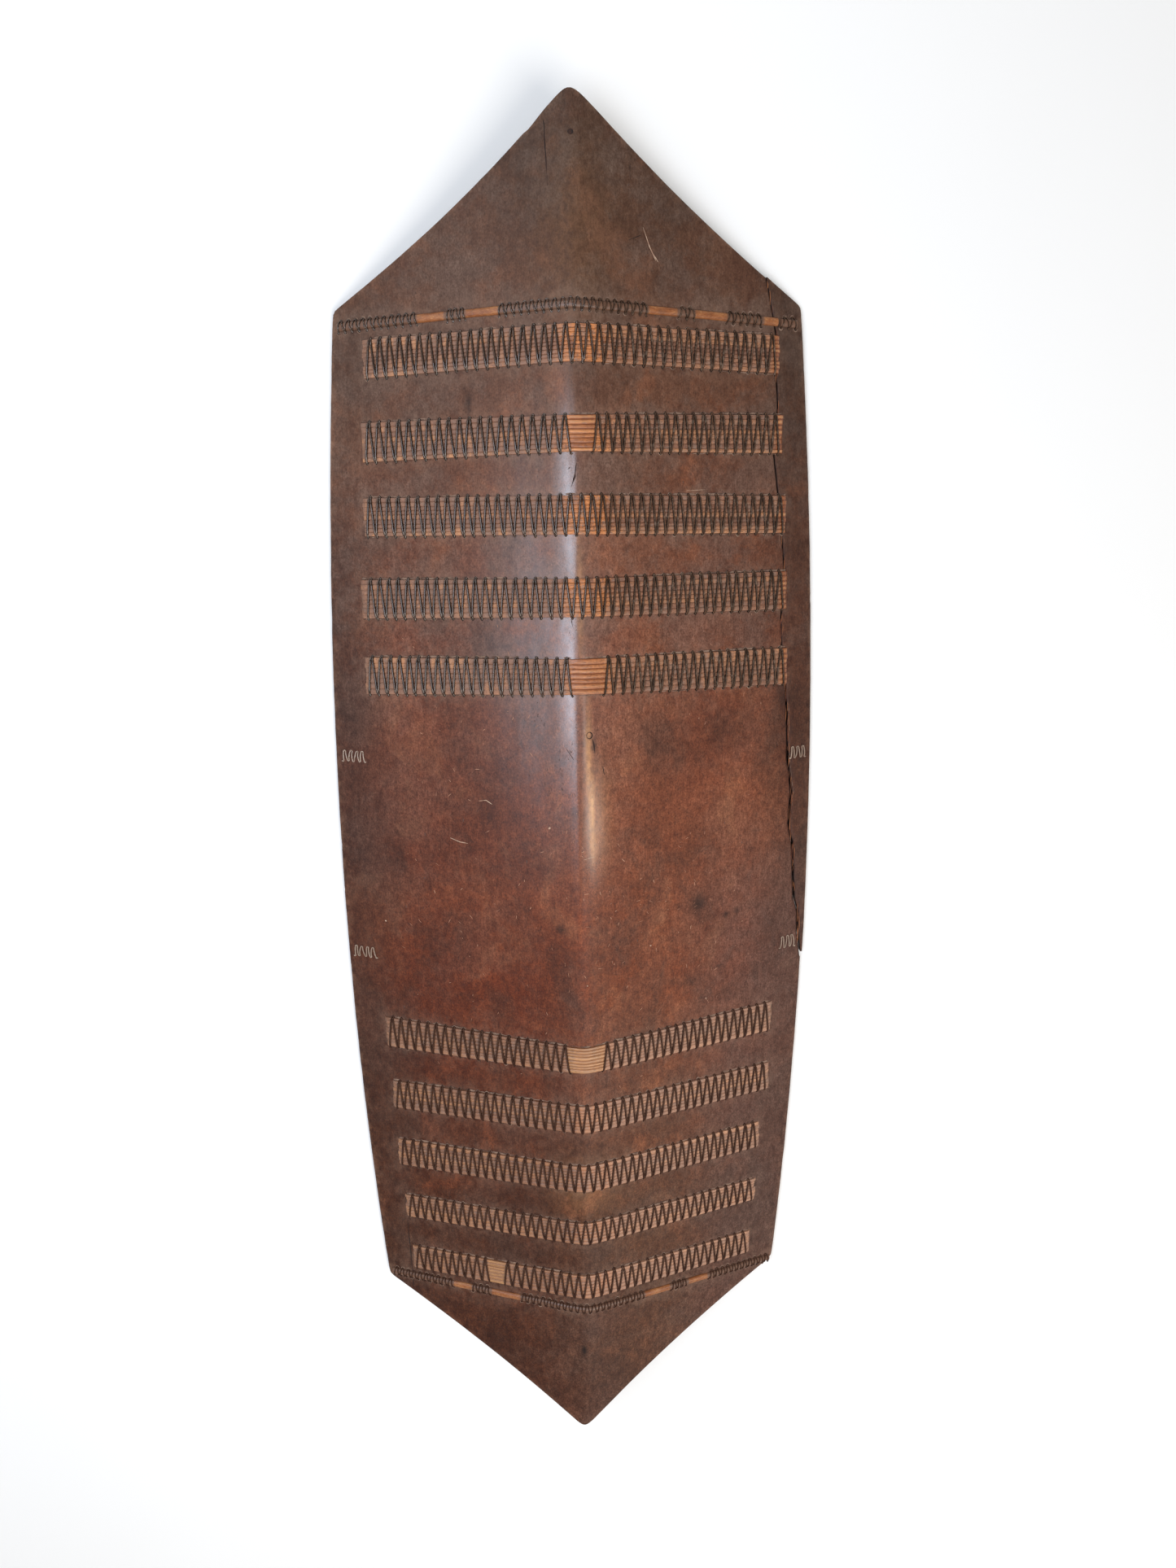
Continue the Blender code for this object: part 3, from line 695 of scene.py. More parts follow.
# Unevenness of the face: depth, size of the dents across and along, and seed
RELIEF = (
    (0.00040, 0.085, 0.150, 11), (0.00018, 0.018, 0.060, 12), (0.00009, 0.006, 0.025, 13),
)


def cane_middle(end, row, x):
    reach = side_line(end * (SHOULDER - row.from_ridge)) - CANE_INSET
    far = np.where(np.asarray(x) < 0, row.from_left, row.from_right)
    away = row.from_ridge + (far - row.from_ridge) * np.minimum(1.0, np.abs(x) / reach)
    return end * (SHOULDER - away)


def band_ends(end, row):
    near = end * (SHOULDER - row.from_ridge)
    return -side_line(near) + row.end_left, side_line(near) - row.end_right


def band_course(end, row, x):
    """Middle line and width of a band at x."""
    left, right = band_ends(end, row)
    share = np.where(np.asarray(x) < 0, np.asarray(x) / left, np.asarray(x) / right)
    far = np.where(np.asarray(x) < 0, row.from_left, row.from_right)
    away = row.from_ridge + (far - row.from_ridge) * share
    return end * (SHOULDER - away), row.ridge_width + (row.end_width - row.ridge_width) * share


def near_bands(x, y):
    """1 beside a band or cane, falling to 0 some millimetres away from it."""
    away = np.full(np.shape(x), 1.0)
    for end, row in BANDS:
        left, right = band_ends(end, row)
        middle, width = band_course(end, row, x)
        beyond = np.maximum(np.maximum(left - x, x - right), 0)
        across = np.maximum(np.abs(y - middle) - width / 2, 0)
        away = np.minimum(away, np.hypot(across, beyond))
    for end, row in ((1, UPPER_CANE), (-1, LOWER_CANE)):
        away = np.minimum(away, np.maximum(np.abs(y - cane_middle(end, row, x)) - DUST_FROM_CANE, 0))
    return np.exp(-away / DUST_REACH)


def patched(patches, x, y):
    """The strongest of some soft patches at each point."""
    value = np.zeros(np.shape(x))
    for patch_x, patch_y, across, along, strength in patches:
        away = ((x - patch_x) / across) ** 2 + ((y - patch_y) / along) ** 2
        value = np.maximum(value, strength * np.exp(-away))
    return value


def rounding(distance, radius):
    """How far a rounded edge has dropped at that distance inside it."""
    inside = np.clip(radius - distance, 0, radius)
    return radius - np.sqrt(radius**2 - inside**2)


def across_face(left, right, columns, squeeze):
    """The x of a ring's points over the face. Columns from -1 to 1 keep the ridge in the middle,
    and columns from 0 to 1 go from one edge to the other."""
    steps = EDGE_STEPS * squeeze
    first = left + EDGE_DEPTH * squeeze
    last = right - EDGE_DEPTH * squeeze
    if columns[0] < 0:
        middle = (left + right) / 2 * (1 - min(1.0, (right - left) / 0.12))
        inner = middle + columns * np.where(columns < 0, middle - first, last - middle)
    else:
        inner = first + columns * (last - first)
    return np.concatenate([left + steps, inner, (right - steps)[::-1]])


def carved_face(x, y, edges, squeeze, dark):
    """Heights over the face, and how raw it is, how much wear lightens its edges, and how dark:
    a darker tone given as dark, and painted shade along the lips of a split. Each edge is given by how
    far the points are inside it, and by how wide the bare wood of a split is there."""
    relief = sum(depth * cloud(x, y, *sizes) for depth, *sizes in RELIEF)
    nearest = np.minimum(edges[0][0], edges[1][0])
    height = face_height(x, y) + relief * np.clip(nearest / 0.006, 0, 1)
    raw = np.zeros(len(x))
    lightening = np.zeros(len(x))
    tone_and_shade = np.full(len(x), dark)
    for distance, bare in edges:
        if bare:
            depth = np.exp(-((distance / bare) ** 2))
            height -= (0.0008 + 0.0005 * cloud(x, y, 0.0008, 0.012, 14)) * depth
            raw = np.maximum(raw, depth)
            # Painted shade: a dark line along the lip of the split
            tone_and_shade = np.maximum(tone_and_shade, 0.75 * np.exp(-((distance / 0.0007) ** 2)))
        else:
            height -= rounding(distance, EDGE_RADIUS * squeeze)
            lightening = np.maximum(lightening, np.exp(-distance / 0.0025))
    return height, raw, lightening, tone_and_shade


def carved_back(x, y):
    """Heights of the back: flat rims, and adze marks in the hollow."""
    hollow = np.clip((side_line(y) - RIM_WIDTH - np.abs(x)) / 0.02, 0, 1)
    return back_height(x, y) + hollow * (0.0003 + 0.0006 * cloud(x, y, 0.022, 0.045, 16))


def slab(name, node, rows, left_of, right_of, face_columns, back_columns, dark=0.0):
    """The board or the strip: rings across it, each over the face and back along the hollow.
    left_of and right_of give an edge's x at y, and how wide the bare wood of a split is there."""
    rings = []
    marks = collections.defaultdict(list)
    for y in rows:
        left, left_bare = left_of(y)
        right, right_bare = right_of(y)
        squeeze = min(1.0, (right - left) / 0.03)
        x = across_face(left, right, face_columns, squeeze)
        edges = ((x - left, left_bare), (right - x, right_bare))
        height, raw, lightening, tone_and_shade = carved_face(x, y, edges, squeeze, dark)
        back_x = right + (left - right) * back_columns
        thinnest = np.interp(back_x, x, height) - THINNEST * squeeze
        back_z = np.minimum(carved_back(back_x, y), thinnest)
        whole_x = np.concatenate([x, back_x])
        whole_z = np.concatenate([height, back_z])
        rings.append(np.stack([whole_x, np.full(len(whole_x), y), whole_z], axis=1))
        blank = np.zeros(len(back_x))
        raw_back = blank.copy()
        raw_back[[0, -1]] = bool(right_bare), bool(left_bare)
        for mark, face, back in (
            ("raw", raw, raw_back),
            ("edge", lightening, blank),
            ("dust", near_bands(x, y), blank + 0.4),
            ("polish", patched(GLOSS, x, y), blank),
            ("rubbed", patched(RUBBED_AND_SHEEN, x, y), blank),
            # Stains, the darker tone, and painted shade along the split
            ("stain", np.maximum(patched(STAINS, x, y), tone_and_shade), blank),
        ):
            marks[mark].append(np.concatenate([face, back]))
    marks = {mark: np.concatenate(values) for mark, values in marks.items()}
    piece = loft(name, np.array(rings), WOOD, marks, sharp=50)
    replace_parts(piece, node)


def ragged(y, size, seed):
    """Splintered course of the split: slivers that break off in steps."""
    step = cloud(0.0, y, 1.0, 0.012, seed)
    step = np.sign(step) * np.abs(step) ** 0.4
    return float(size * (0.6 * step + 0.4 * cloud(0.0, y, 1.0, 0.004, seed + 1)))


def worn_outline(y, side):
    """The outline with the small dents and chips of long use, and a notch near the upper point."""
    x = outline(y, side)
    seed = 31 if side < 0 else 41
    dents = 0.00015 * cloud(0.0, y, 1.0, 0.020, seed) + 0.00008 * cloud(0.0, y, 1.0, 0.006, seed + 1)
    chips = np.clip(cloud(0.0, y, 1.0, 0.011, seed + 2) - 0.74, 0, 1) * 0.002
    notch = NOTCH_DEPTH * np.interp(y, NOTCH, (0.0, 1.0, 1.0, 0.0)) if side < 0 else 0.0
    return x + side * min(1.0, abs(x) / 0.02) * float(dents - chips - notch)


def open_share(y):
    """How far the split stands open: less above the middle of the shield."""
    return float(np.interp(y, (0.10, 0.16), (1.0, 0.4)))


def board_left(y):
    return worn_outline(y, -1), 0.0


def board_right(y):
    crack = split_x(y)
    edge = worn_outline(y, 1)
    if crack is None or crack >= edge:
        return edge, 0.0
    share = open_share(y)
    return crack - BOARD_GAP * share + ragged(y, SPLINTER * share, 61), BOARD_BARE * share


def strip_left(y):
    share = open_share(y)
    bare = STRIP_BARE * share * (1 + 0.6 * float(cloud(0.2, y, 1.0, 0.025, 77)))
    return split_x(y) + STRIP_GAP * share + ragged(y, SPLINTER * share, 71), bare


def strip_right(y):
    return worn_outline(y, 1) + STRIP_SHIFT, 0.0


def make_board():
    """Rows along the board, closer at its points, and columns across it, closer at the ridge."""
    near_tip = (0.0138, 0.0116, 0.0095, 0.0075, 0.0056, 0.0040, 0.0027, 0.0016, 0.0008, 0.0003, 0.0001)
    tips = HALF_LENGTH - np.array(near_tip)
    even = np.linspace(-0.592, 0.592, 434)
    rows = np.unique(np.round([*even, *tips, *-tips, SPLIT_END, SPLIT_TOP], 6))
    fold = np.array([0, 0.0015, 0.003, 0.0045, 0.006, 0.008, 0.0105, 0.0135, 0.017, 0.021]) / 0.21
    right_half = np.concatenate([fold, np.linspace(0.115, 1.0, 60)])
    columns = np.concatenate([-right_half[:0:-1], right_half])
    back = np.unique(np.concatenate([np.linspace(0, 1, 45), [0.0045, 0.02, 0.98, 0.9955]]))
    slab("board_skin", "board", rows, board_left, board_right, columns, back)


def make_strip():
    near_top = SPLIT_TOP - 0.012
    rows = [*np.arange(SPLIT_END + 0.006, near_top, 0.0022), *np.arange(near_top, SPLIT_TOP, 0.0006)]
    rows = [y for y in rows if strip_right(y)[0] - strip_left(y)[0] > 0.0005]
    columns = np.linspace(0, 1, 12)
    slab("split_off_strip", "split_off_edge", rows, strip_left, strip_right, columns, columns, 0.28)


# Bands of rattan
def make_band(number, end, row):
    """One broad band: rounded strands side by side, each with its own colour and slight waves."""
    rng = np.random.default_rng(100 + number)
    left, right = band_ends(end, row)
    stations = np.linspace(left, right, 150)
    middle, width = band_course(end, row, stations)
    shares = rng.uniform(0.80, 1.20, row.strands)
    edges = np.concatenate([[0], np.cumsum(shares)]) / shares.sum()
    profile = np.array([0.0, 0.10, 0.30, 0.5, 0.70, 0.90])
    round_top = np.sqrt(1 - (2 * profile - 1) ** 2)
    tall = rng.uniform(0.75, 1.0, row.strands)
    tint = rng.uniform(0, 1, row.strands)
    across = np.append((edges[:-1, None] + profile * np.diff(edges)[:, None]).ravel(), 1.0)
    crown = np.append((tall[:, None] * round_top).ravel(), 0.0)
    tint = np.append(np.repeat(tint, len(profile)), tint[-1])
    strand = np.floor(across * row.strands)[None, :] * 0.02
    wave = cloud(stations[:, None], strand, 0.03, 0.02, 200 + number)
    y = middle[:, None] + (across - 0.5)[None, :] * width[:, None]
    y = y + 0.0003 * wave * np.sin(across * math.pi)[None, :]
    lift = 0.0003 + (BAND_TOP - 0.0005) * (0.55 + 0.45 * crown[None, :]) + 0.00012 * wave
    lift[:, 0] = lift[:, -1] = -0.0003
    end_drop = np.clip(np.minimum(stations - left, right - stations) / 0.0016, 0, 1)[:, None]
    lift = lift * (0.25 + 0.75 * np.sqrt(end_drop))
    jag = np.repeat(rng.uniform(-0.0010, 0.0007, row.strands), len(profile))
    jag = np.append(jag, jag[-1])[None, :] * np.array([[0.4], [0.8], [1.0]])
    x = np.repeat(stations[:, None], len(across), axis=1)
    x[-3:] += jag
    x[:3] -= jag[::-1]
    rings = laid_rings(x, y, lift, 0.0006)
    bare = np.zeros(len(stations))
    if row.bare:
        start, stop = row.bare
        bare[(stations > start - 0.001) & (stations < stop + 0.001)] = 0.8 if end > 0 else 0.5
    if end > 0:
        bare = np.maximum(bare, np.clip((stations - right + 0.0085) / 0.003, 0, 0.9))
    marks = {
        "crown": np.tile(np.append(crown, [0, 0]), len(stations)),
        "tint": np.tile(np.append(tint, [0, 0]), len(stations)),
        "bare": np.repeat(bare, rings.shape[1]),
    }
    piece = loft(f"splints_{number}", rings, RATTAN, marks, sharp=60)
    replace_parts(piece, f"rattan_band_{number}")


# Lashings
class Lashing:
    """A cord that goes up and down between two curves. edge_at(side, x) is the y of the upper
    curve for side 1, and of the lower one for side -1."""

    def __init__(self, cord, start, stop, edge_at, seed):
        self.cord = cord
        self.edge_at = edge_at
        self.rng = np.random.default_rng(seed)
        strokes = 2 * max(1, round((stop - start) / cord.pitch))
        shifts = self.rng.uniform(-cord.wild, cord.wild, strokes + 1)
        shifts[0] = max(0.0, shifts[0])
        shifts[-1] = min(0.0, shifts[-1])
        self.turns = np.linspace(start, stop, strokes + 1) + shifts
        self.reach = self.rng.uniform(-cord.wild, cord.wild, strokes + 1) * 0.8

    def turn(self, index):
        """The y of a turn, +1 at the upper edge or -1 at the lower one, and its loop's radius."""
        up = 1 if index % 2 else -1
        loop = self.cord.upper_loop if up > 0 else self.cord.lower_loop
        return float(self.edge_at(up, self.turns[index])) + up * self.reach[index], up, loop

    def course(self):
        """Points along the cord, with a narrow loop at each turn."""
        points = []
        for index, x in enumerate(self.turns):
            edge, up, loop = self.turn(index)
            for angle in LOOP_ANGLES:
                points.append((x - loop * math.cos(angle), edge - up * loop * (1 - math.sin(angle))))
            if index + 1 < len(self.turns):
                other, other_up, other_loop = self.turn(index + 1)
                begin = np.array([x + loop, edge - up * loop])
                finish = np.array([self.turns[index + 1] - other_loop, other - other_up * other_loop])
                bow = self.rng.uniform(-self.cord.wild, self.cord.wild) * 0.5
                for share in STROKE_SHARES:
                    point = begin + (finish - begin) * share
                    points.append((point[0] + bow * math.sin(share * math.pi), point[1]))
        return np.array(points)

    def make(self, name, node, look, slot):
        """The cord as a piece: it dives into the wood at each turn and rises over what it holds."""
        x, y = self.course().T
        inside = np.minimum(self.edge_at(1, x) - y, y - self.edge_at(-1, x))
        share = np.clip((inside - 0.0006) / 0.0028, 0, 1)
        lift = 0.0001 + (self.cord.rise - 0.0001) * share * share * (3 - 2 * share)
        per_stroke = len(LOOP_ANGLES) + len(STROKE_SHARES)
        tints = self.rng.uniform(0, 1, len(x) // per_stroke + 2)
        tint = np.interp(np.arange(len(x)) / per_stroke, np.arange(len(tints)), tints)
        strands = Strands()
        strands.laid(x, y, lift, self.cord.radius, self.cord.sides, 0.9, tint)
        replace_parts(strands.piece(name, look, slot), node)

    def lips(self, strands):
        """Dusty lips of the wood round the turns."""
        radius = self.cord.lip
        for index, middle in enumerate(self.turns):
            edge, up, _ = self.turn(index)
            if up < 0 and self.rng.uniform() < 0.4:
                continue
            size = radius * self.rng.uniform(0.85, 1.15)
            angles = np.radians(np.linspace(5, 175, 8) + self.rng.uniform(-8, 8))
            x = middle - size * np.cos(angles)
            y = edge - up * radius * 0.9 + up * size * np.sin(angles) * 1.35
            taper = np.sin(np.linspace(0.2, math.pi - 0.2, 8)) * self.rng.uniform(0.5, 1.1)
            strands.laid(x, y, -0.0001, 0.0006 * taper + 0.00004, 6, 0.6, 0.5)

    def holes(self, strands):
        """Dark spots of painted shade at the turns, where the cord goes into its holes in the wood."""
        taper = HOLE_SIZE * np.array([0.3, 0.62, 0.7, 0.5, 0.12])
        for index, x in enumerate(self.turns):
            edge, up, _ = self.turn(index)
            y = edge + up * (0.0002 + HOLE_SIZE * np.linspace(-0.8, 1.1, 5))
            strands.laid(x, y, 0.00005, taper, 6, 0.35)

    def behind(self, strands):
        """Short bars of cord behind the board, from one hole to the next along both edges."""
        radius = self.cord.radius_behind
        for index in range(len(self.turns) - 2):
            here, up, _ = self.turn(index)
            there = self.turn(index + 2)[0]
            x = np.linspace(self.turns[index], self.turns[index + 2], 6)
            y = np.linspace(here, there, 6) - up * 0.0006
            rise = 0.0006 * np.sin(np.linspace(0, math.pi, 6)) - 0.0004
            path = np.stack([x, y, np.maximum(back_height(x, y) - rise, radius)], axis=1)
            strands.tube(path, np.array([0.0, 0.0, -1.0]), radius, 6, 0.9, 0.4)


def band_edge(end, row, side, x):
    middle, width = band_course(end, row, x)
    return middle + side * (width / 2 + CORD_BESIDE_BAND)


def lash_band(number, end, row, holes, behind):
    left, right = band_ends(end, row)
    edge_at = functools.partial(band_edge, end, row)
    start = left + (FOURTH_FROM_LEFT if number == 4 else CORD_FROM_ENDS[0])
    stop = right - CORD_FROM_ENDS[1]
    runs = {"": (start, stop)}
    if row.bare:
        runs = {"_left": (start, row.bare[0]), "_right": (row.bare[1], stop)}
    cord = UPPER_CORD if end > 0 else LOWER_CORD
    dust = Strands()
    for index, (part, (begin, finish)) in enumerate(runs.items()):
        lashing = Lashing(cord, begin, finish, edge_at, 300 + 10 * number + index)
        lashing.make(f"cord_{number}{part}", f"lashing_{number}{part}", CORD, "dark_cord")
        lashing.lips(dust)
        lashing.holes(holes)
        lashing.behind(behind)
    # A pale broken line of dust along both edges of the band
    x = np.linspace(left + 0.001, right - 0.001, 300)
    for side, out, size in ((1, -0.0002, 0.00060), (-1, 0.0005, 0.00026)):
        y = edge_at(side, x) + out + 0.0003 * cloud(x, 0.0, 0.004, 1.0, 500 + number)
        radius = size * np.clip(1 + 1.6 * cloud(x, 0.3, 0.006, 1.0, 600 + number), 0.05, 2)
        dust.laid(x, y, -0.00005, radius, 6, 0.3, 0.5)
    dust.piece(f"dust_round_band_{number}", DUST_LINE, "dark_wood")


# Canes
def make_rod(name, node, end, row, left, right, seed, clean=1.0):
    """A half-round cane with slight waves, clean where no cord covers it."""
    stations = np.linspace(left, right, max(6, int((right - left) / 0.002)))
    angle = np.radians([180, 165, 140, 115, 90, 65, 40, 15, 0])
    half = CANE_WIDTH / 2 * (1 + 0.05 * cloud(stations, 0.0, 0.02, 1.0, seed))
    centre = cane_middle(end, row, stations) + 0.0002 * cloud(stations, 0.4, 0.03, 1.0, seed + 1)
    thick = (CANE_TOP - 0.0003) * (1 + 0.04 * cloud(stations, 0.2, 0.012, 1.0, seed + 2))
    x = np.repeat(stations[:, None], len(angle), axis=1)
    y = centre[:, None] + np.cos(angle) * half[:, None]
    rings = laid_rings(x, y, 0.0003 + thick[:, None] * np.sin(angle), 0.0005)
    bare = np.full(len(stations), clean)
    for start, stop in row.groups:
        start = left - 0.01 if start is None else start - 0.001
        stop = right + 0.01 if stop is None else stop + 0.001
        bare[(stations > start) & (stations < stop)] = 0.0
    marks = {"bare": np.repeat(bare, rings.shape[1])}
    piece = loft(name, rings, CANE, marks, sharp=60)
    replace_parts(piece, node)


def cane_edge(end, row, side, x):
    return cane_middle(end, row, x) + side * CORD_FROM_CANE


def lash_cane(name, node, end, row, start, stop, dust, behind, seed):
    lashing = Lashing(CANE_CORD, start, stop, functools.partial(cane_edge, end, row), seed)
    lashing.make(name, node, CORD, "dark_cord")
    lashing.lips(dust)
    lashing.behind(behind)


def make_cane(name, end, row, over_split, behind):
    """A cane along a shoulder line with its groups of cord. One that crosses the split is broken
    there, and over_split is how far the ends of its two pieces stand beyond it."""
    right = side_line(end * (SHOULDER - row.from_ridge)) - CANE_INSET
    left = -right
    dust = Strands()
    if over_split:
        crack = split_x(float(cane_middle(end, row, right)))
        begin = crack + 2 * over_split
        make_rod(f"{name}_short_rod", f"{name}_end", end, row, begin, right, 710, clean=0.0)
        ends = (begin + 0.0006, right - 0.0006)
        lash_cane(f"{name}_short_cord", f"{name}_end_lashing", end, row, *ends, dust, behind, 711)
        right = crack + over_split
    make_rod(f"{name}_rod", name, end, row, left, right, 720 + end)
    for number, (start, stop) in enumerate(row.groups, 1):
        start = left + 0.0008 if start is None else start
        stop = right - 0.0008 if stop is None else stop
        names = (f"{name}_cord_{number}", f"{name}_lashing_{number}")
        lash_cane(*names, end, row, start, stop, dust, behind, 740 + 10 * end + number)
    dust.piece(f"dust_round_{name}", DUST_LINE, "dark_wood")


def stitch_edge(row, side, x):
    return np.full(np.shape(x), row.middle + side * row.height / 2)


def make_stitches(behind):
    for index, row in enumerate(EDGE_STITCHES):
        edge = side_line(row.middle)
        start, stop = sorted((row.side * (edge - row.inner), row.side * (edge - row.outer)))
        lashing = Lashing(STITCH_CORD, start, stop, functools.partial(stitch_edge, row), 800 + index)
        lashing.make(f"stitches_{row.name}", f"edge_stitches_{row.name}", DUSTY_CORD, "dusty_cord")
        lashing.behind(behind)


# Marks of age
def mark_line(strands, course, width, seed):
    """A thin flat mark that follows the face through the given points."""
    course = np.array(course, float)
    along = np.linspace(0, len(course) - 1, 7 * (len(course) - 1) + 1)
    x, y = (np.interp(along, np.arange(len(course)), values) for values in course.T)
    x = x + 0.0003 * cloud(0.0, y + x, 1.0, 0.007, seed)
    taper = np.sin(np.linspace(0.12, math.pi - 0.12, len(x))) ** 0.5
    taper = taper * (1 + 0.45 * cloud(0.1, y + x, 1.0, 0.004, seed + 1))
    strands.laid(x, y, 0.00005, width / 2 * taper, 6, 0.3)


CRACKS = (
    (0.0009, (-0.0209, 0.5860), (-0.0205, 0.5757), (-0.0198, 0.5622), (-0.0187, 0.5350)),
    (0.0004, (-0.0187, 0.5350), (-0.0174, 0.5082), (-0.0153, 0.4811)),
    (0.0004, (0.0472, 0.5580), (0.0470, 0.5452)),
    (0.0008, (-0.1761, -0.3949), (-0.1756, -0.4175), (-0.1742, -0.4567), (-0.1734, -0.4738)),
    (0.0012, (-0.0002, 0.3296), (-0.0014, 0.3190), (-0.0046, 0.3096)),
    (0.0009, (0.0015, 0.2611), (0.0020, 0.2512)),
    (0.0007, (-0.0010, 0.3130), (-0.0300, 0.3145), (-0.0440, 0.3120)),
    (0.0006, (-0.0050, 0.2130), (-0.0060, 0.2040), (-0.0045, 0.1950)),
    (0.0006, (-0.0120, 0.2150), (-0.0125, 0.2060)),
    (0.0016, (0.0105, 0.1024), (0.0118, 0.0960), (0.0126, 0.0901)),
    (0.0006, (0.0190, 0.0780), (0.0205, 0.0700)),
    (0.0004, (-0.0130, 0.0960), (-0.0060, 0.0850)),
    (0.0005, (0.0560, 0.5060), (0.0440, 0.5010)),
)
SCRATCHES = (
    (0.0006, (0.0575, 0.5119), (0.0630, 0.4980), (0.0684, 0.4878)),
    (0.0005, (0.0660, 0.4925), (0.0700, 0.4870)),
    (0.0008, (-0.1164, 0.0081), (-0.1080, 0.0050), (-0.1003, 0.0040)),
    (0.0008, (-0.0887, 0.0440), (-0.0825, 0.0450), (-0.0771, 0.0415)),
    (0.0018, (-0.0283, 0.0226), (-0.0270, 0.0242)),
    (0.0015, (-0.1815, -0.0770), (-0.1803, -0.0780)),
    (0.0018, (0.0622, -0.0935), (0.0636, -0.0942)),
    (0.0014, (0.1177, -0.1570), (0.1190, -0.1576)),
    (0.0010, (0.0030, -0.1220), (0.0042, -0.1226)),
    (0.0008, (0.0010, -0.0040), (0.0110, -0.0020)),
    (0.0004, (0.1060, 0.3060), (0.1085, 0.2870)),
    (0.0004, (0.1130, 0.3090), (0.0950, 0.3080)),
)


def listed_marks(lines, seed):
    strands = Strands()
    for index, (width, *course) in enumerate(lines):
        mark_line(strands, course, width, seed + 2 * index)
    return strands


def make_cracks():
    cracks = listed_marks(CRACKS, 0)
    # The nail hole, a little wider than high: a dark spot of painted shade
    y = NAIL_HOLE[1] + NAIL_HOLE_HALF[1] * np.linspace(-1, 1, 7)
    half_width = NAIL_HOLE_HALF[0] * np.sqrt(1 - np.linspace(-0.97, 0.97, 7) ** 2)
    cracks.laid(NAIL_HOLE[0], y, 0.0001, half_width, 10, 0.12)
    # The ring round the small knot beside the ridge
    turn = np.linspace(0.0, 2 * math.pi, 25)
    x = KNOT[0] + KNOT_HALF[0] * np.cos(turn)
    y = KNOT[1] + KNOT_HALF[1] * np.sin(turn)
    cracks.laid(x, y, 0.00004, 0.00036 + 0.00016 * np.cos(turn), 6, 0.2)
    cracks.piece("hairline_cracks", CRACK, "dark_wood")


def short_mark(strands, rng, x, y, slant, longest, widths, seed):
    """One short straight mark, unless a band or cane is there."""
    if near_bands(x, y) > 0.8:
        return
    angle = rng.normal(*slant)
    half = 0.5 * rng.uniform(0.0008, longest)
    step = np.array([half * math.cos(angle), half * math.sin(angle)])
    mark_line(strands, ((x, y) - step, (x, y) + step), rng.uniform(*widths), seed)


def make_marks():
    """Cracks and scratches, and many small ones at random: pale ones all over, and dark nicks
    along the left of the ridge."""
    make_cracks()
    listed_marks(SCRATCHES, 60).piece("scratches", PALE, "dark_wood")
    rng = np.random.default_rng(5)
    faint = Strands()
    for index in range(300):
        x = rng.uniform(-0.175, 0.175) if index % 3 else rng.uniform(-0.02, 0.13)
        y = rng.uniform(-0.27, 0.22) if index % 3 else rng.uniform(-0.13, 0.04)
        short_mark(faint, rng, x, y, (1.5, 0.9), 0.0045, (0.00025, 0.00060), 100 + index)
    faint.piece("faint_scratches", FAINT, "dark_wood")
    nicks = Strands()
    for index in range(330):
        x = -abs(rng.normal(0.0, 0.022)) - 0.001 if index % 4 else rng.uniform(-0.18, 0.18)
        y = rng.uniform(0.0, 0.42) if index % 4 else rng.uniform(-0.45, 0.55)
        if abs(x) <= outline(y, 1) - 0.02:
            short_mark(nicks, rng, x, y, (1.6, 0.35), 0.0034, (0.00030, 0.00075), 400 + index)
    nicks.piece("nicks", NICK, "dark_wood")


def make_fibres():
    """Fibres that still bridge the split, and a pale line of splinters below the bands."""
    fibres = Strands()
    rng = np.random.default_rng(7)
    at = np.linspace(-0.5, 0.5, 7)
    for y in rng.uniform(SPLIT_END + 0.02, SPLIT_TOP - 0.005, 150):
        if y > 0.16 and rng.uniform() < 0.5:
            continue
        along = y + at * rng.uniform(0.004, 0.020)
        x = split_x(y) + rng.uniform(-0.0008, 0.0022) + rng.uniform(-0.0012, 0.0012) * at
        lift = -0.0007 + 0.0006 * np.cos(at * math.pi) + rng.uniform(-0.0003, 0.0002)
        width = rng.uniform(0.0001, 0.00028) * np.sin(np.linspace(0.3, 2.84, 7))
        fibres.laid(x, along, lift, width, 4, 0.8, rng.uniform(0, 1))
    fibres.piece("split_fibres", FIBRE, "dark_wood")
    splinters = Strands()
    for y in np.arange(0.02, 0.135, 0.006):
        along = np.linspace(y, y + 0.0065, 7)
        x = np.array([split_x(v) for v in along]) + 0.0022 + rng.uniform(-0.0003, 0.0003)
        width = rng.uniform(0.0001, 0.0004) * np.sin(np.linspace(0.4, 2.74, 7))
        splinters.laid(x, along, -0.0003, width, 5, 0.6)
    splinters.piece("pale_splinters", DUST_LINE, "dark_wood")


# The carved grip
GRIP_COURSE = (
    (0.092, 0.0700, 0.0170), (0.080, 0.0560, 0.0150), (0.0735, 0.0400, 0.0132),
    (0.069, 0.0280, 0.0120), (0.060, 0.0205, 0.0112), (0.045, 0.0182, 0.0105),
    (0.025, 0.0180, 0.0100), (0.0, 0.0180, 0.0100),
)
GRIP_STEPS = 73
GRIP_SIDES = 20


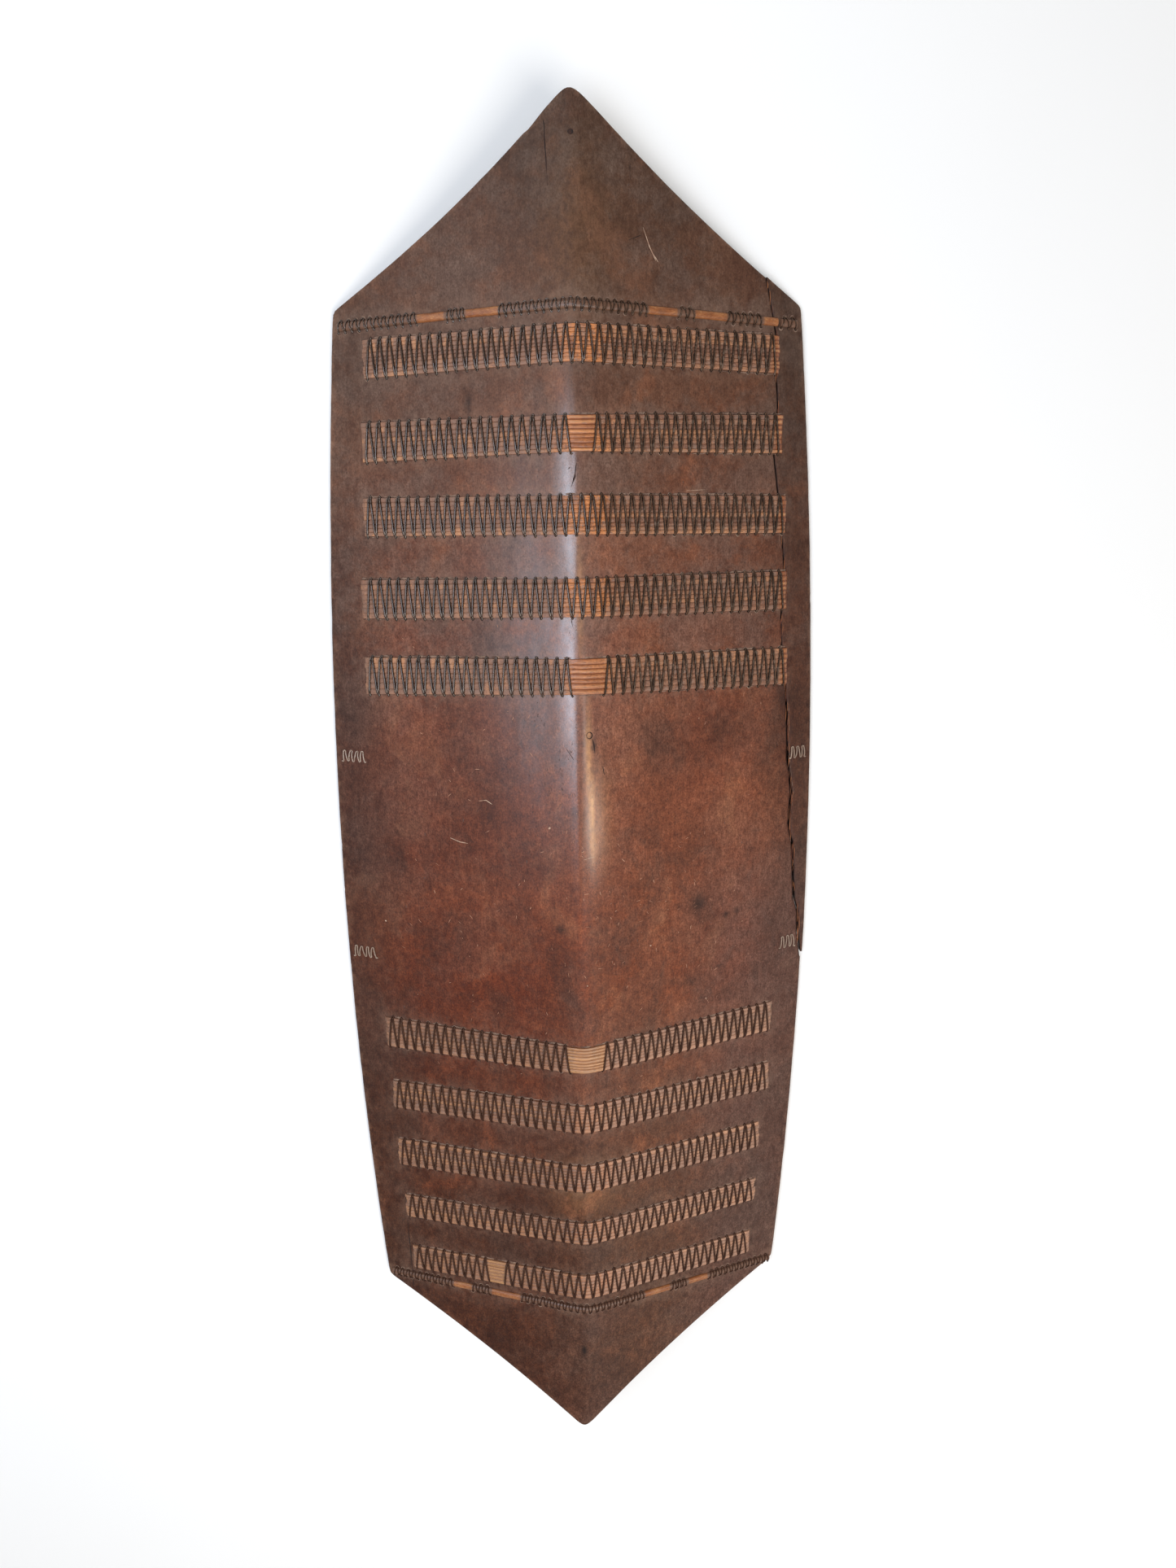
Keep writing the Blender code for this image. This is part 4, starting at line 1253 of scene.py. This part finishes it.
def make_grip():
    """Bar and two posts behind the board, carved with it: a rounded bridge through sections.
    GRIP_COURSE gives y, z and half thickness from one foot to the middle of the bar."""
    half_course = np.array(GRIP_COURSE)
    course = np.concatenate([half_course, half_course[-2::-1] * np.array([-1, 1, 1])])
    along = np.linspace(0, len(course) - 1, GRIP_STEPS)
    y, z, thick = (np.interp(along, np.arange(len(course)), column) for column in course.T)
    for values in (y, z):
        values[2:-2] = np.convolve(values, np.ones(5) / 5, "valid")
    path = np.stack([np.zeros(GRIP_STEPS), y, z], axis=1)
    side = np.array([1.0, 0.0, 0.0])
    up = np.cross(side, unit(np.gradient(path, axis=0)))
    angle = np.arange(GRIP_SIDES) * 2 * math.pi / GRIP_SIDES
    square = (np.abs(np.cos(angle)) ** 3 + np.abs(np.sin(angle)) ** 3) ** (-1 / 3)
    wide = 0.013 * (1 + 0.12 * np.clip((np.abs(y) - 0.06) / 0.03, 0, 1))
    ring = (np.cos(angle) * square)[None, :, None] * side * wide[:, None, None]
    ring = ring + (np.sin(angle) * square)[None, :, None] * up[:, None, :] * thick[:, None, None] * 0.98
    points = path[:, None, :] + ring
    knife = cloud(points[..., 1], points[..., 2] + points[..., 0], 0.012, 0.012, 55)
    count = GRIP_STEPS * GRIP_SIDES
    marks = {"dust": np.full(count, 0.2), "polish": np.full(count, 0.7)}
    loft("carved_grip", points + 0.00025 * knife[..., None], WOOD, marks)


make_board()
make_strip()
make_grip()
hole_spots = Strands()
back_cords = Strands()
for number, (end, row) in enumerate(BANDS, 1):
    make_band(number, end, row)
    lash_band(number, end, row, hole_spots, back_cords)
make_cane("upper_cane", 1, UPPER_CANE, CANE_OVER_SPLIT, back_cords)
make_cane("lower_cane", -1, LOWER_CANE, None, back_cords)
make_stitches(back_cords)
hole_spots.piece("lashing_holes", HOLE, "dark_wood")
back_cords.piece("cords_behind", CORD, "dark_cord")
make_marks()
make_fibres()


# Floor, light and camera
FLOOR_HALF = 6
SKY_BLUE = (0.74, 0.84, 1.0)
Lamp = collections.namedtuple("Lamp", "name place target width height power colour")
LAMPS = (
    Lamp("window_0", (-0.60, 0.05, 1.625), (-0.01, 0.15, 0.085), 1.25, 0.38, 9.8, SKY_BLUE),
    Lamp("window_1", (-0.86, 0.05, 1.500), (-0.01, 0.15, 0.085), 1.25, 0.23, 2.5, SKY_BLUE),
    Lamp("window_2", (-1.06, 0.05, 1.358), (-0.01, 0.15, 0.085), 1.25, 0.29, 1.3, SKY_BLUE),
    Lamp("window_3", (-1.27, 0.05, 1.157), (-0.01, 0.15, 0.085), 1.25, 0.29, 0.6, SKY_BLUE),
    Lamp("window_top", (-0.27, 0.36, 1.70), (0.0, 0.30, 0.087), 0.6, 0.34, 3.2, SKY_BLUE),
    Lamp("cool_above", (-0.70, 1.20, 0.95), (0.0, 0.35, 0.0), 0.9, 0.6, 5.0, (0.95, 0.98, 1.0)),
    Lamp("warm_right", (0.9, -1.1, 2.3), (0.0, 0.0, 0.0), 1.5, 1.5, 43.5, (1.0, 0.97, 0.92)),
)
ROOM_COLOUR = (0.97, 0.98, 1.0, 1.0)
ROOM_LIGHT = 0.28
CAMERA_PLACE = (-0.05214, 0.27411, 1.00478)
CAMERA_TURN = (-12.834, -3.773, -0.659)
LENS = 25.22
SENSOR = 36.0


def make_floor():
    look = Look("floor_look")
    clouds = look.noise((3, 3, 3), 2.0)
    look.colour = look.mix(clouds, (0.93, 0.91, 0.88), (0.96, 0.94, 0.91))
    corners = [(x * FLOOR_HALF, y * FLOOR_HALF, 0) for x, y in ((-1, -1), (1, -1), (1, 1), (-1, 1))]
    mesh = bpy.data.meshes.new("floor")
    mesh.from_pydata(corners, [], [(0, 1, 2, 3)])
    mesh.materials.append(look.finish({"Roughness": 0.9, "Specular IOR Level": 0.1}))
    floor = new_object("floor", mesh)


def make_lamp(lamp):
    light = bpy.data.lights.new(lamp.name, "AREA")
    light.shape = "RECTANGLE"
    light.size = lamp.width
    light.size_y = lamp.height
    light.energy = lamp.power
    light.color = lamp.colour
    holder = new_object(lamp.name, light)
    holder.location = lamp.place
    aim = Vector(lamp.target) - Vector(lamp.place)
    holder.rotation_euler = aim.to_track_quat("-Z", "Y").to_euler()


def make_room_light():
    world = bpy.data.worlds.new("studio")
    world.use_nodes = True
    inputs = world.node_tree.nodes["Background"].inputs
    inputs["Color"].default_value = ROOM_COLOUR
    inputs["Strength"].default_value = ROOM_LIGHT
    bpy.context.scene.world = world
    bpy.context.scene.view_settings.view_transform = "Standard"


def make_camera():
    """Above the shield and a little towards its upper point, looking down on it."""
    data = bpy.data.cameras.new("camera")
    data.sensor_width = SENSOR
    data.lens = LENS
    camera = new_object("camera", data)
    camera.location = CAMERA_PLACE
    camera.rotation_euler = [math.radians(angle) for angle in CAMERA_TURN]
    bpy.context.scene.camera = camera


make_floor()
for lamp in LAMPS:
    make_lamp(lamp)
make_room_light()
make_camera()
